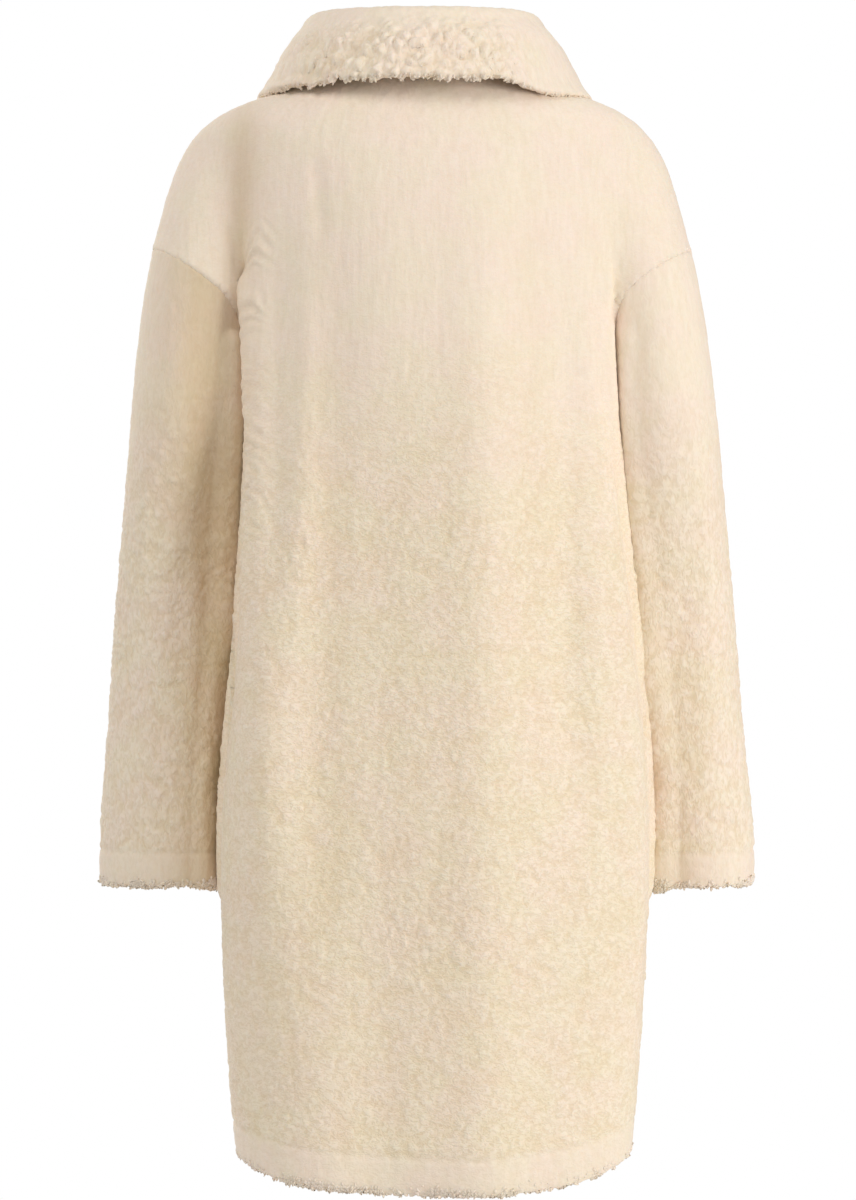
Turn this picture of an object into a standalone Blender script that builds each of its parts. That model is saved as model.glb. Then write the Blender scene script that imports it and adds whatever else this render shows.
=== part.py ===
"""Knee-length teddy-fleece coat with dropped shoulders and a wide turned-down collar.

The coat is filled out and hollow, open at the neck, the hem and both cuffs. Every cloth piece is a wall
as thick as the knit and its pile together.

Metres, +Z up. The front faces -Y, the back +Y and +X is the wearer's left. The origin is on the middle
line at the height of the neck ends of the shoulder seams, where the wearer's shoulders carry the coat.
"""
import math
from collections import namedtuple

import bmesh
import bpy
from mathutils import Matrix, Vector

# ---------------------------------------------------------------- driving sizes
WALL = 0.009
SEAM_GAP = 0.0003
SEAM_OPENING = 0.0010
NECK_FRONT_DROP = 0.085
DROP_SEAM_TOP = -0.158
UNDERARM = -0.300
HEM = -0.981
HEM_SIDE_LIFT = 0.020
CUFF = -0.731
LAP = 0.035
LAP_STEP = 0.0065
COLLAR_GAP = 0.0004
COLLAR_FRONT_GAP = 0.0012
COLLAR_END_ANGLE = math.radians(166)
BUTTON_RADIUS = 0.015
BUTTON_THICKNESS = 0.0045
BUTTON_GAP = 0.0006
BUTTON_HEIGHTS = (-0.205, -0.335, -0.465)

# How square the body is across, at the shoulders and at the hem: 2 is an ellipse.
SHOULDER_POWER = 2.0
HEM_POWER = 2.5
# How widely an arm runs into the body at the shoulder and at the underarm, and how far from the
# shoulder's outer edge that starts.
SHOULDER_BLEND = 0.034
UNDERARM_BLEND = 0.006
BLEND_START = 0.035
# Between these heights the armhole's edge turns straight back, and from the second on to the side.
ARMHOLE_TURN_START = -0.185
ARMHOLE_TURN_END = -0.227
# Folds fade out over this width towards a seam, and the plain inside follows most of their depth.
FOLD_FADE = 0.020
INNER_FOLD_SHARE = 0.85

BACK_COLUMNS = 40
FRONT_COLUMNS = 20
COLLAR_COLUMNS = 38

FLEECE = (0.80, 0.68, 0.54)
HORN = (0.62, 0.50, 0.37)

# The torso from hem to neck: the middle line's x, half the width, and y at the side seam, back and front.
Torso = namedtuple("Torso", "height middle half_width side back front")
TORSO = (
    Torso(-1.000, -0.005, 0.173, 0.030, 0.131, -0.128),
    Torso(-0.923, -0.005, 0.180, 0.030, 0.133, -0.131),
    Torso(-0.827, -0.005, 0.185, 0.030, 0.135, -0.134),
    Torso(-0.724, -0.006, 0.190, 0.030, 0.136, -0.136),
    Torso(-0.635, -0.007, 0.188, 0.028, 0.134, -0.136),
    Torso(-0.563, -0.008, 0.180, 0.024, 0.130, -0.134),
    Torso(-0.473, -0.008, 0.172, 0.018, 0.126, -0.132),
    Torso(-0.390, -0.006, 0.165, 0.009, 0.123, -0.132),
    Torso(-0.300, -0.004, 0.160, 0.000, 0.121, -0.133),
    Torso(-0.200, -0.003, 0.158, 0.000, 0.118, -0.127),
    Torso(-0.150, -0.001, 0.164, 0.000, 0.115, -0.114),
    Torso(-0.100, 0.002, 0.177, 0.000, 0.110, -0.087),
    Torso(-0.050, 0.003, 0.197, 0.000, 0.098, -0.060),
    Torso(-0.020, 0.003, 0.205, 0.000, 0.081, -0.040),
    Torso(0.000, 0.003, 0.210, 0.000, 0.062, -0.012),
)

# The outer edge of the shoulders and sleeves, measured to the left and the right of ARM_MIDDLE.
Outline = namedtuple("Outline", "height left right")
ARM_MIDDLE = 0.004
OUTLINE = (
    Outline(-0.740, 0.2970, 0.3030),
    Outline(-0.698, 0.2970, 0.3030),
    Outline(-0.607, 0.2900, 0.2930),
    Outline(-0.473, 0.2795, 0.2815),
    Outline(-0.320, 0.2640, 0.2645),
    Outline(-0.200, 0.2510, 0.2490),
    Outline(-0.140, 0.2385, 0.2345),
    Outline(-0.099, 0.2270, 0.2240),
    Outline(-0.072, 0.2170, 0.2140),
    Outline(-0.054, 0.2040, 0.2010),
    Outline(-0.039, 0.1840, 0.1830),
    Outline(-0.027, 0.1570, 0.1570),
    Outline(-0.016, 0.1210, 0.1210),
    Outline(0.000, 0.0870, 0.0870),
)

# The sleeves: the inner edge's x and half the depth on each side, and the y of their middle.
Sleeve = namedtuple("Sleeve", "height inner_left inner_right depth_left depth_right middle")
SLEEVE = (
    Sleeve(-0.740, 0.189, 0.200, 0.052, 0.056, -0.056),
    Sleeve(-0.600, 0.176, 0.192, 0.055, 0.061, -0.046),
    Sleeve(-0.473, 0.163, 0.180, 0.060, 0.067, -0.034),
    Sleeve(-0.380, 0.161, 0.176, 0.064, 0.070, -0.018),
    Sleeve(-0.330, 0.159, 0.169, 0.067, 0.071, -0.006),
    Sleeve(-0.300, 0.156, 0.164, 0.068, 0.070, 0.000),
    Sleeve(-0.250, 0.1545, 0.159, 0.066, 0.066, 0.000),
    Sleeve(-0.200, 0.148, 0.148, 0.062, 0.062, 0.000),
    Sleeve(-0.150, 0.130, 0.128, 0.056, 0.056, 0.000),
    Sleeve(-0.100, 0.115, 0.115, 0.047, 0.047, 0.000),
    Sleeve(-0.060, 0.112, 0.112, 0.032, 0.032, 0.000),
    Sleeve(-0.030, 0.112, 0.112, 0.008, 0.008, 0.000),
)

# The drop-shoulder seam, from the outer edge of the arm down into the underarm, as x to each side.
Armhole = namedtuple("Armhole", "height left right")
ARMHOLE = (
    Armhole(-0.3000, 0.1560, 0.1640),
    Armhole(-0.2620, 0.1570, 0.1620),
    Armhole(-0.2270, 0.1600, 0.1610),
    Armhole(-0.2010, 0.1780, 0.1730),
    Armhole(-0.1850, 0.1990, 0.1910),
    Armhole(-0.1720, 0.2190, 0.2110),
    Armhole(-0.1635, 0.2345, 0.2265),
    Armhole(-0.1595, 0.2430, 0.2345),
    Armhole(-0.1580, 0.2455, 0.2375),
)

# Heights of the body's rows at their outer ends: down the shoulder seam, the armhole and the side seam.
SHOULDER_LEVELS = (-0.001, -0.010, -0.019, -0.027, -0.036, -0.047, -0.062, -0.085, -0.115, -0.140)
ARMHOLE_LEVELS = tuple(row.height for row in reversed(ARMHOLE))
SIDE_LEVELS = (-0.350, -0.415, -0.485, -0.560, -0.635, -0.715, -0.795, -0.870, -0.935)
UPPER_LEVELS = SHOULDER_LEVELS + ARMHOLE_LEVELS
NECK_ROWS = 8
# The sleeve's rows, as shares of the way from the armhole seam to the cuff.
SLEEVE_ROWS = (0.0, 0.035, 0.09, 0.16, 0.25, 0.35, 0.46, 0.57, 0.68, 0.79, 0.89, 0.95, 1.0)

# Long soft ridges (+) and troughs (-) of the back: x at the top and bottom, the heights they run
# between, half their width and how far they stand out.
Fold = namedtuple("Fold", "x_top x_bottom top bottom half_width depth")
BACK_FOLDS = (
    Fold(0.143, 0.150, -0.085, -0.520, 0.011, 0.007),
    Fold(0.124, 0.132, -0.120, -0.500, 0.013, -0.006),
    Fold(0.101, 0.112, -0.080, -0.600, 0.018, 0.005),
    Fold(0.040, 0.036, -0.150, -1.000, 0.038, -0.010),
    Fold(-0.045, -0.052, -0.030, -1.020, 0.036, 0.010),
    Fold(-0.126, -0.128, -0.100, -0.760, 0.022, -0.011),
    Fold(-0.151, -0.168, -0.080, -0.560, 0.012, 0.006),
)
FRONT_FOLDS = (
    Fold(0.120, 0.135, -0.160, -0.700, 0.024, -0.006),
    Fold(-0.115, -0.128, -0.150, -0.640, 0.022, -0.006),
    Fold(-0.070, -0.085, -0.260, -1.000, 0.034, 0.005),
    Fold(0.078, 0.090, -0.300, -1.010, 0.036, 0.005),
)

# The collar's section at angles round the neck from the centre back: how high the stand rises, how far
# out the fold leans, how far out the fall's edge is, how far below the neck seam it ends and how much
# the fall rounds out on the way.
CollarSection = namedtuple("CollarSection", "angle stand lean reach drop roll")
COLLAR = (
    CollarSection(0, 0.047, 0.008, 0.046, 0.023, 0.006),
    CollarSection(35, 0.049, 0.009, 0.050, 0.020, 0.006),
    CollarSection(60, 0.052, 0.008, 0.055, 0.013, 0.003),
    CollarSection(88, 0.053, 0.007, 0.059, 0.016, 0.000),
    CollarSection(105, 0.053, 0.008, 0.060, 0.015, 0.001),
    CollarSection(125, 0.050, 0.009, 0.060, 0.030, 0.006),
    CollarSection(150, 0.036, 0.008, 0.056, 0.060, 0.006),
    CollarSection(166, 0.026, 0.007, 0.056, 0.064, 0.005),
)
FOLD_RADIUS = 0.0085
FALL_CLEARANCE = 0.0025
FOLD_STEPS = 6
STAND_STEPS = 2
FALL_STEPS = 4

# A button's section: (share of its radius, share of its thickness), from under the rim to the dish.
BUTTON_PROFILE = ((0.55, 0), (0.92, 0), (1.0, 0.35), (0.97, 0.85), (0.88, 1.0), (0.78, 0.85), (0.55, 0.65))
BUTTON_SIDES = 18


# ---------------------------------------------------------------- curves
def through(rows, column, key="height"):
    """A smooth function of the key column that passes through the rows' values of another column."""
    knots = sorted((getattr(row, key), getattr(row, column)) for row in rows)
    spans = [(b[1] - a[1]) / (b[0] - a[0]) for a, b in zip(knots, knots[1:])]
    slopes = [spans[0]]
    for before, after in zip(spans, spans[1:]):
        same_way = before * after > 0
        slopes.append(2 * before * after / (before + after) if same_way else 0.0)
    slopes.append(spans[-1])

    def value(at):
        at = min(max(at, knots[0][0]), knots[-1][0])
        index = 0
        while index < len(spans) - 1 and at > knots[index + 1][0]:
            index += 1
        (x0, y0), (x1, y1) = knots[index], knots[index + 1]
        step = x1 - x0
        t = (at - x0) / step
        rise = (y1 - y0) * t * t * (3 - 2 * t)
        lean = step * t * (1 - t) * (slopes[index] * (1 - t) - slopes[index + 1] * t)
        return y0 + rise + lean

    return value


def ease(start, end, at):
    """0 before start, 1 after end, and a smooth step between."""
    t = min(max((at - start) / (end - start), 0.0), 1.0)
    return t * t * (3 - 2 * t)


def mix(a, b, share):
    return a + (b - a) * share


TORSO_MIDDLE = through(TORSO, "middle")
TORSO_WIDTH = through(TORSO, "half_width")
TORSO_SIDE = through(TORSO, "side")
TORSO_BACK = through(TORSO, "back")
TORSO_FRONT = through(TORSO, "front")
REACH = {1: through(OUTLINE, "left"), -1: through(OUTLINE, "right")}
SLEEVE_INNER = {1: through(SLEEVE, "inner_left"), -1: through(SLEEVE, "inner_right")}
SLEEVE_DEPTH = {1: through(SLEEVE, "depth_left"), -1: through(SLEEVE, "depth_right")}
SLEEVE_MIDDLE = through(SLEEVE, "middle")
ARMHOLE_EDGE = {1: through(ARMHOLE, "left"), -1: through(ARMHOLE, "right")}


# ---------------------------------------------------------------- the body's surface
def outer_edge(hand, z):
    """x of the shoulder's or sleeve's outer edge; hand is 1 on the wearer's left and -1 on the right."""
    return ARM_MIDDLE + hand * REACH[hand](z)


def torso_reach(hand, z):
    """x of the torso's side, no wider than the shoulder line above it."""
    side = TORSO_MIDDLE(z) + hand * TORSO_WIDTH(z)
    if z < UNDERARM:
        return side
    return hand * min(hand * side, hand * outer_edge(hand, z))


def round_height(t, power):
    """Height of a unit superellipse over t, which goes steeply on below its edge."""
    t = abs(t)
    if t >= 1:
        return -6 * (t - 1)
    return (1 - t ** power) ** (1 / power)


def sleeve_section(hand, z):
    """Middle x, half width, middle y and half depth of the arm at a height."""
    outer = outer_edge(hand, z)
    inner = hand * SLEEVE_INNER[hand](z)
    return (outer + inner) / 2, abs(outer - inner) / 2, SLEEVE_MIDDLE(z), SLEEVE_DEPTH[hand](z)


def blended_max(a, b, width):
    """The larger of two heights, rounded where they are within width of each other."""
    near = max(width - abs(a - b), 0) / width
    return max(a, b) + near * near * width / 4


def half_depth(face, x, z):
    """How far the cloth stands from the side line; face is 1 on the back and -1 on the front."""
    middle = TORSO_MIDDLE(z)
    hand = 1 if x >= middle else -1
    half_width = abs(torso_reach(hand, z) - middle)
    power = mix(SHOULDER_POWER, HEM_POWER, ease(-0.02, -0.25, z))
    full = (TORSO_BACK(z) if face > 0 else TORSO_FRONT(z)) - TORSO_SIDE(z)
    torso = abs(full) * round_height((x - middle) / half_width, power)
    if z <= UNDERARM:
        return max(torso, 0.0)
    arm_x, arm_half, _, arm_depth = sleeve_section(hand, z)
    arm = arm_depth * round_height((x - arm_x) / arm_half, 2.0)
    blend = mix(SHOULDER_BLEND, UNDERARM_BLEND, ease(DROP_SEAM_TOP, UNDERARM, z))
    blend *= ease(0, BLEND_START, hand * (outer_edge(hand, z) - x))
    return max(blended_max(torso, arm, blend + 1e-6), 0.0)


def body_point(face, x, z):
    return Vector((x, TORSO_SIDE(z) + face * half_depth(face, x, z), z))


def body_normal(face, x, z):
    """Direction out of the cloth, from the surface's slopes."""
    step = 0.0015
    hand = 1 if x >= TORSO_MIDDLE(z) else -1
    limit = body_edge(hand, z)
    x = hand * min(hand * x, hand * limit - 0.0006)
    inner_x = x - hand * step
    across = (half_depth(face, x, z) - half_depth(face, inner_x, z)) / (x - inner_x)
    low = max(z - step, -1.0)
    down = (half_depth(face, x, z) - half_depth(face, x, low)) / (z - low)
    return Vector((-across, face, -down)).normalized()


def body_edge(hand, z):
    """x where the body pieces end at a height: the shoulder seam, the armhole seam or the side seam."""
    if z >= DROP_SEAM_TOP:
        return outer_edge(hand, z)
    if z >= UNDERARM:
        return hand * ARMHOLE_EDGE[hand](z)
    return torso_reach(hand, z)


def edge_direction(face, hand, z, own_side):
    """Outward direction across a piece's edge. At the shoulder and side seams it lies in the seam's plane.
    Down the armhole it turns straight back, and then at the underarm to the piece's own side: 1 is the
    torso's and -1 the sleeve's."""
    sideways = Vector((hand * own_side, 0, 0))
    if z <= UNDERARM:
        return sideways
    normal = body_normal(face, body_edge(hand, z), z)
    if z >= DROP_SEAM_TOP:
        return Vector((normal.x, 0, normal.z)).normalized()
    normal = normal.lerp(Vector((0, face, 0)), ease(ARMHOLE_TURN_START, ARMHOLE_TURN_END, z))
    return normal.lerp(sideways, ease(ARMHOLE_TURN_END, UNDERARM, z)).normalized()


def fold_height(folds, x, z):
    """Sum of the soft ridges and troughs at a place."""
    total = 0.0
    for fold in folds:
        share = (fold.top - z) / (fold.top - fold.bottom)
        across = (x - mix(fold.x_top, fold.x_bottom, min(max(share, 0), 1))) / fold.half_width
        length = fold.top - fold.bottom
        rise = ease(fold.top, fold.top - 0.3 * length, z)
        fade = ease(fold.bottom, fold.bottom + 0.35 * length, z) if fold.bottom > HEM else 1.0
        total += fold.depth * math.exp(-across * across) * rise * fade
    return total


def hem_lift(x, z):
    """The hem rises a little towards the side seams."""
    across = abs(x - TORSO_MIDDLE(z)) / TORSO_WIDTH(z)
    return HEM_SIDE_LIFT * across ** 4 * ease(-0.80, HEM, z)


class Row:
    """One row of a body piece: a curve across the cloth from one end (x, z) through the height that the
    middle line has to the other end."""

    def __init__(self, face, start, end, crown=None):
        self.face = face
        self.start = start
        self.end = end
        self.crown = crown

    def height(self, x):
        """z of the row at x: level near the middle, and turning to the ends' heights."""
        (x0, z0), (x1, z1) = self.start, self.end
        if self.crown is None:
            return mix(z0, z1, ((x - x0) / (x1 - x0)) ** 2)
        middle_x, middle_z = self.crown
        end_x, end_z = self.start if (x - middle_x) * (x0 - middle_x) > 0 else self.end
        return mix(middle_z, end_z, ((x - middle_x) / (end_x - middle_x)) ** 2)

    def places(self, columns):
        """(x, z) places evenly spaced along the cloth."""
        count = 160
        xs = []
        for index in range(count + 1):
            share = (1 - math.cos(math.pi * index / count)) / 2
            xs.append(mix(self.start[0], self.end[0], share))
        points = [body_point(self.face, x, self.height(x)) for x in xs]
        lengths = [0.0]
        for a, b in zip(points, points[1:]):
            lengths.append(lengths[-1] + (b - a).length)
        result = [self.start]
        index = 0
        for column in range(1, columns):
            target = lengths[-1] * column / columns
            while lengths[index + 1] < target:
                index += 1
            share = (target - lengths[index]) / (lengths[index + 1] - lengths[index])
            x = mix(xs[index], xs[index + 1], share)
            result.append((x, self.height(x)))
        result.append(self.end)
        return result


# ---------------------------------------------------------------- meshes
def add_material(name, colour, roughness):
    material = bpy.data.materials.new(name)
    material.use_nodes = True
    shader = material.node_tree.nodes["Principled BSDF"]
    shader.inputs["Base Color"].default_value = (*colour, 1)
    shader.inputs["Roughness"].default_value = roughness
    shader.inputs["Metallic"].default_value = 0.0
    return material


def add_object(name, mesh, material):
    mesh.materials.append(material)
    mesh.shade_smooth()
    mesh.set_sharp_from_angle(angle=math.radians(50))
    piece = bpy.data.objects.new(name, mesh)
    bpy.context.scene.collection.objects.link(piece)
    return piece


def wall(name, outer, inner, material, closed=False):
    """A closed solid between two grids of points; closed joins each row's ends, as round a sleeve."""
    rows, columns = len(outer), len(outer[0])
    mesh = bpy.data.meshes.new(name)
    build = bmesh.new()
    skins = [[[build.verts.new(point) for point in row] for row in grid] for grid in (outer, inner)]
    spans = [(c, (c + 1) % columns) for c in range(columns if closed else columns - 1)]
    for row in range(rows - 1):
        for skin in skins:
            for a, b in spans:
                build.faces.new((skin[row][a], skin[row][b], skin[row + 1][b], skin[row + 1][a]))
    for row in (0, rows - 1):
        for a, b in spans:
            build.faces.new((skins[0][row][a], skins[0][row][b], skins[1][row][b], skins[1][row][a]))
    if not closed:
        for column in (0, columns - 1):
            for row in range(rows - 1):
                a, b = skins[0][row][column], skins[0][row + 1][column]
                c, d = skins[1][row + 1][column], skins[1][row][column]
                build.faces.new((a, b, c, d))
    bmesh.ops.recalc_face_normals(build, faces=build.faces)
    bmesh.ops.triangulate(build, faces=build.faces)
    build.to_mesh(mesh)
    build.free()
    return add_object(name, mesh, material)


# ---------------------------------------------------------------- body pieces
def trimmed_point(face, x, z):
    """A surface point, kept half a seam gap away from the plane of the side and shoulder seams."""
    point = body_point(face, x, z)
    side = TORSO_SIDE(z)
    point.y = side + face * max(face * (point.y - side), SEAM_GAP / 2)
    return point


def neck_direction(point):
    """Level direction from the middle of the neck to a point of the neck seam."""
    return Vector((point.x - ARM_MIDDLE, point.y, 0)).normalized()


def panel_row(row, columns, folds, step=None, neck_ends=()):
    """Outer and inner points of one row of a body piece."""
    outer, inner = [], []
    face = row.face
    for index, (x, z) in enumerate(row.places(columns)):
        hand = 1 if x >= TORSO_MIDDLE(z) else -1
        base = trimmed_point(face, x, z)
        at_edge = index in (0, columns) and index not in neck_ends
        if at_edge and abs(x - body_edge(hand, z)) < 1e-6:
            normal = edge_direction(face, hand, z, 1)
            fold = 0.0
        else:
            normal = body_normal(face, x, z)
            room = ease(0, FOLD_FADE, hand * (body_edge(hand, z) - x))
            fold = fold_height(folds, x, z) * room
        moved = step(x, z) if step else 0.0
        top = base + normal * fold + Vector((0, face * moved, 0))
        under = base + normal * (INNER_FOLD_SHARE * fold - WALL) + Vector((0, face * moved, 0))
        if index in neck_ends:
            under = top - neck_direction(top) * WALL
        elif z > UNDERARM:
            under.y = face * max(face * under.y, SEAM_GAP / 2)
        lift = Vector((0, 0, hem_lift(x, z)))
        outer.append(top + lift)
        inner.append(under + lift)
    return outer, inner


def back_panel(material):
    outer, inner = [], []
    last = len(UPPER_LEVELS) - 1
    for number, z in enumerate(UPPER_LEVELS + SIDE_LEVELS + (HEM,)):
        middle_z = UNDERARM * number / last if number < last else z
        crown = (TORSO_MIDDLE(z), middle_z)
        row = Row(1, (body_edge(-1, z), z), (body_edge(1, z), z), crown)
        row_outer, row_inner = panel_row(row, BACK_COLUMNS, BACK_FOLDS)
        if number == 0:
            row_inner = [point - neck_direction(point) * WALL for point in row_outer]
        outer.append(row_outer)
        inner.append(row_inner)
    return wall("back", outer, inner, material)


def neck_x(hand, z):
    """x of the front neckline, which is round in front view and lowest at the centre front."""
    top = UPPER_LEVELS[0]
    half = abs(body_edge(hand, top) - ARM_MIDDLE)
    return ARM_MIDDLE + hand * half * math.sqrt(max((z + NECK_FRONT_DROP) / (top + NECK_FRONT_DROP), 0))


def lap_step(hand):
    """The right front lies over the left one: it steps out and the left one steps in across the lap."""
    def step(x, z):
        inside = hand * (x - TORSO_MIDDLE(z))
        return -hand * LAP_STEP * ease(LAP + 0.030, LAP + 0.004, inside) * ease(-0.02, -0.075, z)

    return step


def front_start(hand, number):
    """Where a row of the front begins: on the neckline for the first rows, then on the lap's edge."""
    if number < NECK_ROWS:
        angle = mix(0, math.pi / 2, (number + 0.7) / (NECK_ROWS + 0.4))
        z = mix(UPPER_LEVELS[0], -NECK_FRONT_DROP, math.sin(angle) ** 2)
        return neck_x(hand, z), z
    last = len(UPPER_LEVELS) - 1
    if number <= last:
        z = mix(-NECK_FRONT_DROP, UNDERARM, (number - NECK_ROWS) / (last - NECK_ROWS))
    else:
        z = (UPPER_LEVELS + SIDE_LEVELS + (HEM,))[number]
    return TORSO_MIDDLE(z) - hand * LAP, z


def front_panel(name, hand, material):
    outer, inner = [], []
    for number, z in enumerate(UPPER_LEVELS + SIDE_LEVELS + (HEM,)):
        row = Row(-1, front_start(hand, number), (body_edge(hand, z), z))
        neck_ends = (0,) if number < NECK_ROWS else ()
        row_outer, row_inner = panel_row(row, FRONT_COLUMNS, FRONT_FOLDS, lap_step(hand), neck_ends)
        if number == 0:
            row_inner = [point - neck_direction(point) * WALL for point in row_outer]
        outer.append(row_outer)
        inner.append(row_inner)
    return wall(name, outer, inner, material)


# ---------------------------------------------------------------- sleeves
def armhole_loop(hand):
    """Armhole seam points with their inward directions, from the outer edge by the back to the underarm
    and up the front again. Each stretch between two body rows has its middle point too."""
    places = [(1, z) for z in ARMHOLE_LEVELS] + [(-1, z) for z in reversed(ARMHOLE_LEVELS[1:-1])]
    corners = []
    for face, z in places:
        point = body_point(face, body_edge(hand, z), z)
        corners.append((point, edge_direction(face, hand, z, -1), face))
    loop = []
    for index, (point, direction, face) in enumerate(corners):
        after_point, after_direction, _ = corners[(index + 1) % len(corners)]
        loop.append((point, direction))
        loop.append(((point + after_point) / 2, (direction + after_direction).normalized()))
    return loop


def sleeve_point(hand, angle, z):
    """A point of the sleeve at an angle from its outer edge by the back, and its outward direction."""
    middle_x, half, middle_y, depth = sleeve_section(hand, z)
    x = middle_x + hand * half * math.cos(angle)
    y = middle_y + depth * math.sin(angle)
    normal = Vector((hand * math.cos(angle) / half, math.sin(angle) / depth, 0)).normalized()
    return Vector((x, y, z)), normal


def sleeve(name, hand, material):
    """A tube from the drop-shoulder seam to the cuff, which is turned up and sewn all round."""
    loop = armhole_loop(hand)
    count = len(loop)
    outer = [[] for _ in SLEEVE_ROWS]
    inner = [[] for _ in SLEEVE_ROWS]
    for column, (seam, direction) in enumerate(loop):
        even_angle = 2 * math.pi * column / count
        middle_x, half, middle_y, depth = sleeve_section(hand, seam.z)
        seam_angle = math.atan2((seam.y - middle_y) / depth, hand * (seam.x - middle_x) / half)
        if column > 0 and seam_angle <= 0:
            seam_angle += 2 * math.pi
        for row, down in enumerate(SLEEVE_ROWS):
            z = mix(seam.z, CUFF, down)
            angle = mix(seam_angle, even_angle, ease(0, 0.6, down))
            point, normal = sleeve_point(hand, angle, z)
            if z > UNDERARM:
                seam_x = body_edge(hand, z) + hand * 2 * SEAM_GAP
                x = hand * max(hand * point.x, hand * seam_x)
                face = 1 if point.y > 0 else -1
                point = body_point(face, x, z) if abs(point.y) > 0.004 else Vector((x, point.y, z))
            inside = Vector((0, 0, 0))
            if row == 0:
                point = seam + Vector((hand * SEAM_GAP, 0, -SEAM_GAP))
                normal = direction
                inside = Vector((hand, 0, -1)) * SEAM_OPENING
            else:
                normal = direction.lerp(normal, ease(0, 0.16, down)).normalized()
            outer[row].append(point)
            inner[row].append(point - normal * WALL + inside)
    return wall(name, outer, inner, material, closed=True)


# ---------------------------------------------------------------- collar
COLLAR_CURVES = {
    column: through(COLLAR, column, key="angle") for column in ("stand", "lean", "reach", "drop", "roll")
}


def neck_seam(angle):
    """A point of the neck seam at an angle from the centre back towards the wearer's left."""
    hand = 1 if angle >= 0 else -1
    top = UPPER_LEVELS[0]
    if abs(angle) <= math.pi / 2:
        across = math.sin(abs(angle))
        x = mix(TORSO_MIDDLE(top), body_edge(hand, top), across)
        return body_point(1, x, mix(0, top, across ** 2))
    z = mix(top, -NECK_FRONT_DROP, math.cos(angle) ** 2)
    x = neck_x(hand, z)
    return body_point(-1, x, z) - Vector((0, lap_step(hand)(x, z), 0))


def clear_of_body(place, room):
    """Moves a place out along the body's surface direction until it is that far from the surface."""
    if place.z > UPPER_LEVELS[0]:
        return place
    for _ in range(6):
        z = place.z
        face = 1 if place.y >= TORSO_SIDE(z) else -1
        hand = 1 if place.x >= TORSO_MIDDLE(z) else -1
        past_edge = hand * (place.x - outer_edge(hand, z))
        if past_edge > 0:
            slope = (REACH[hand](z) - REACH[hand](z - 0.001)) / 0.001
            normal = Vector((hand, 0, -slope)).normalized()
            distance = past_edge * abs(normal.x)
        else:
            normal = body_normal(face, place.x, z)
            above = abs(place.y - TORSO_SIDE(z)) - half_depth(face, place.x, z)
            distance = above * abs(normal.y)
        if distance >= room:
            break
        place = place + normal * (room - distance)
    return place


def collar_path(angle, seam, direction):
    """The middle line of the folded collar at an angle, as (outward, up) pairs from the neck seam. The
    fall keeps clear of the body, and of the lap at the front."""
    degrees = abs(math.degrees(angle))
    room = WALL / 2 + FALL_CLEARANCE + LAP_STEP * ease(0.6, 1.0, -direction.y)
    size = {column: curve(degrees) for column, curve in COLLAR_CURVES.items()}
    top = size["stand"] - WALL / 2 - FOLD_RADIUS
    bottom = mix(COLLAR_GAP, COLLAR_FRONT_GAP, ease(-0.2, 0.4, -direction.y))
    path = []
    for step in range(STAND_STEPS + 1):
        share = step / STAND_STEPS
        path.append((mix(-WALL / 2, size["lean"] - FOLD_RADIUS, share), mix(bottom, top, share)))
    for step in range(1, FOLD_STEPS):
        turn = math.pi * step / FOLD_STEPS
        path.append((size["lean"] - FOLD_RADIUS * math.cos(turn), top + FOLD_RADIUS * math.sin(turn)))
    start = Vector((size["lean"] + FOLD_RADIUS, top))
    end = Vector((size["reach"], -size["drop"] + WALL / 2))
    for step in range(FALL_STEPS + 1):
        share = step / FALL_STEPS
        place = start.lerp(end, share)
        bulge = size["roll"] * math.sin(math.pi * share)
        place += Vector((bulge, bulge * 0.4))
        resting = clear_of_body(seam + direction * place.x + Vector((0, 0, place.y)), room) - seam
        path.append((resting.dot(direction), resting.z))
    return path


def collar(material):
    """A stand at the neck seam and a wide fall turned down over it, one folded wall."""
    outer, inner = [], []
    for column in range(COLLAR_COLUMNS + 1):
        angle = mix(-COLLAR_END_ANGLE, COLLAR_END_ANGLE, column / COLLAR_COLUMNS)
        seam = neck_seam(angle)
        direction = neck_direction(seam)
        path = collar_path(angle, seam, direction)
        inside, outside = [], []
        for index, (out, up) in enumerate(path):
            before = Vector(path[max(index - 1, 0)])
            after = Vector(path[min(index + 1, len(path) - 1)])
            along = (after - before).normalized()
            across = Vector((along.y, -along.x))
            if index == 0:
                across = Vector((1, 0))
            for skin, side in ((inside, -1), (outside, 1)):
                place = Vector((out, up)) + across * side * WALL / 2
                skin.append(seam + direction * place.x + Vector((0, 0, place.y)))
        outer.append(inside)
        inner.append(outside)
    return wall("collar", outer, inner, material)


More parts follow.
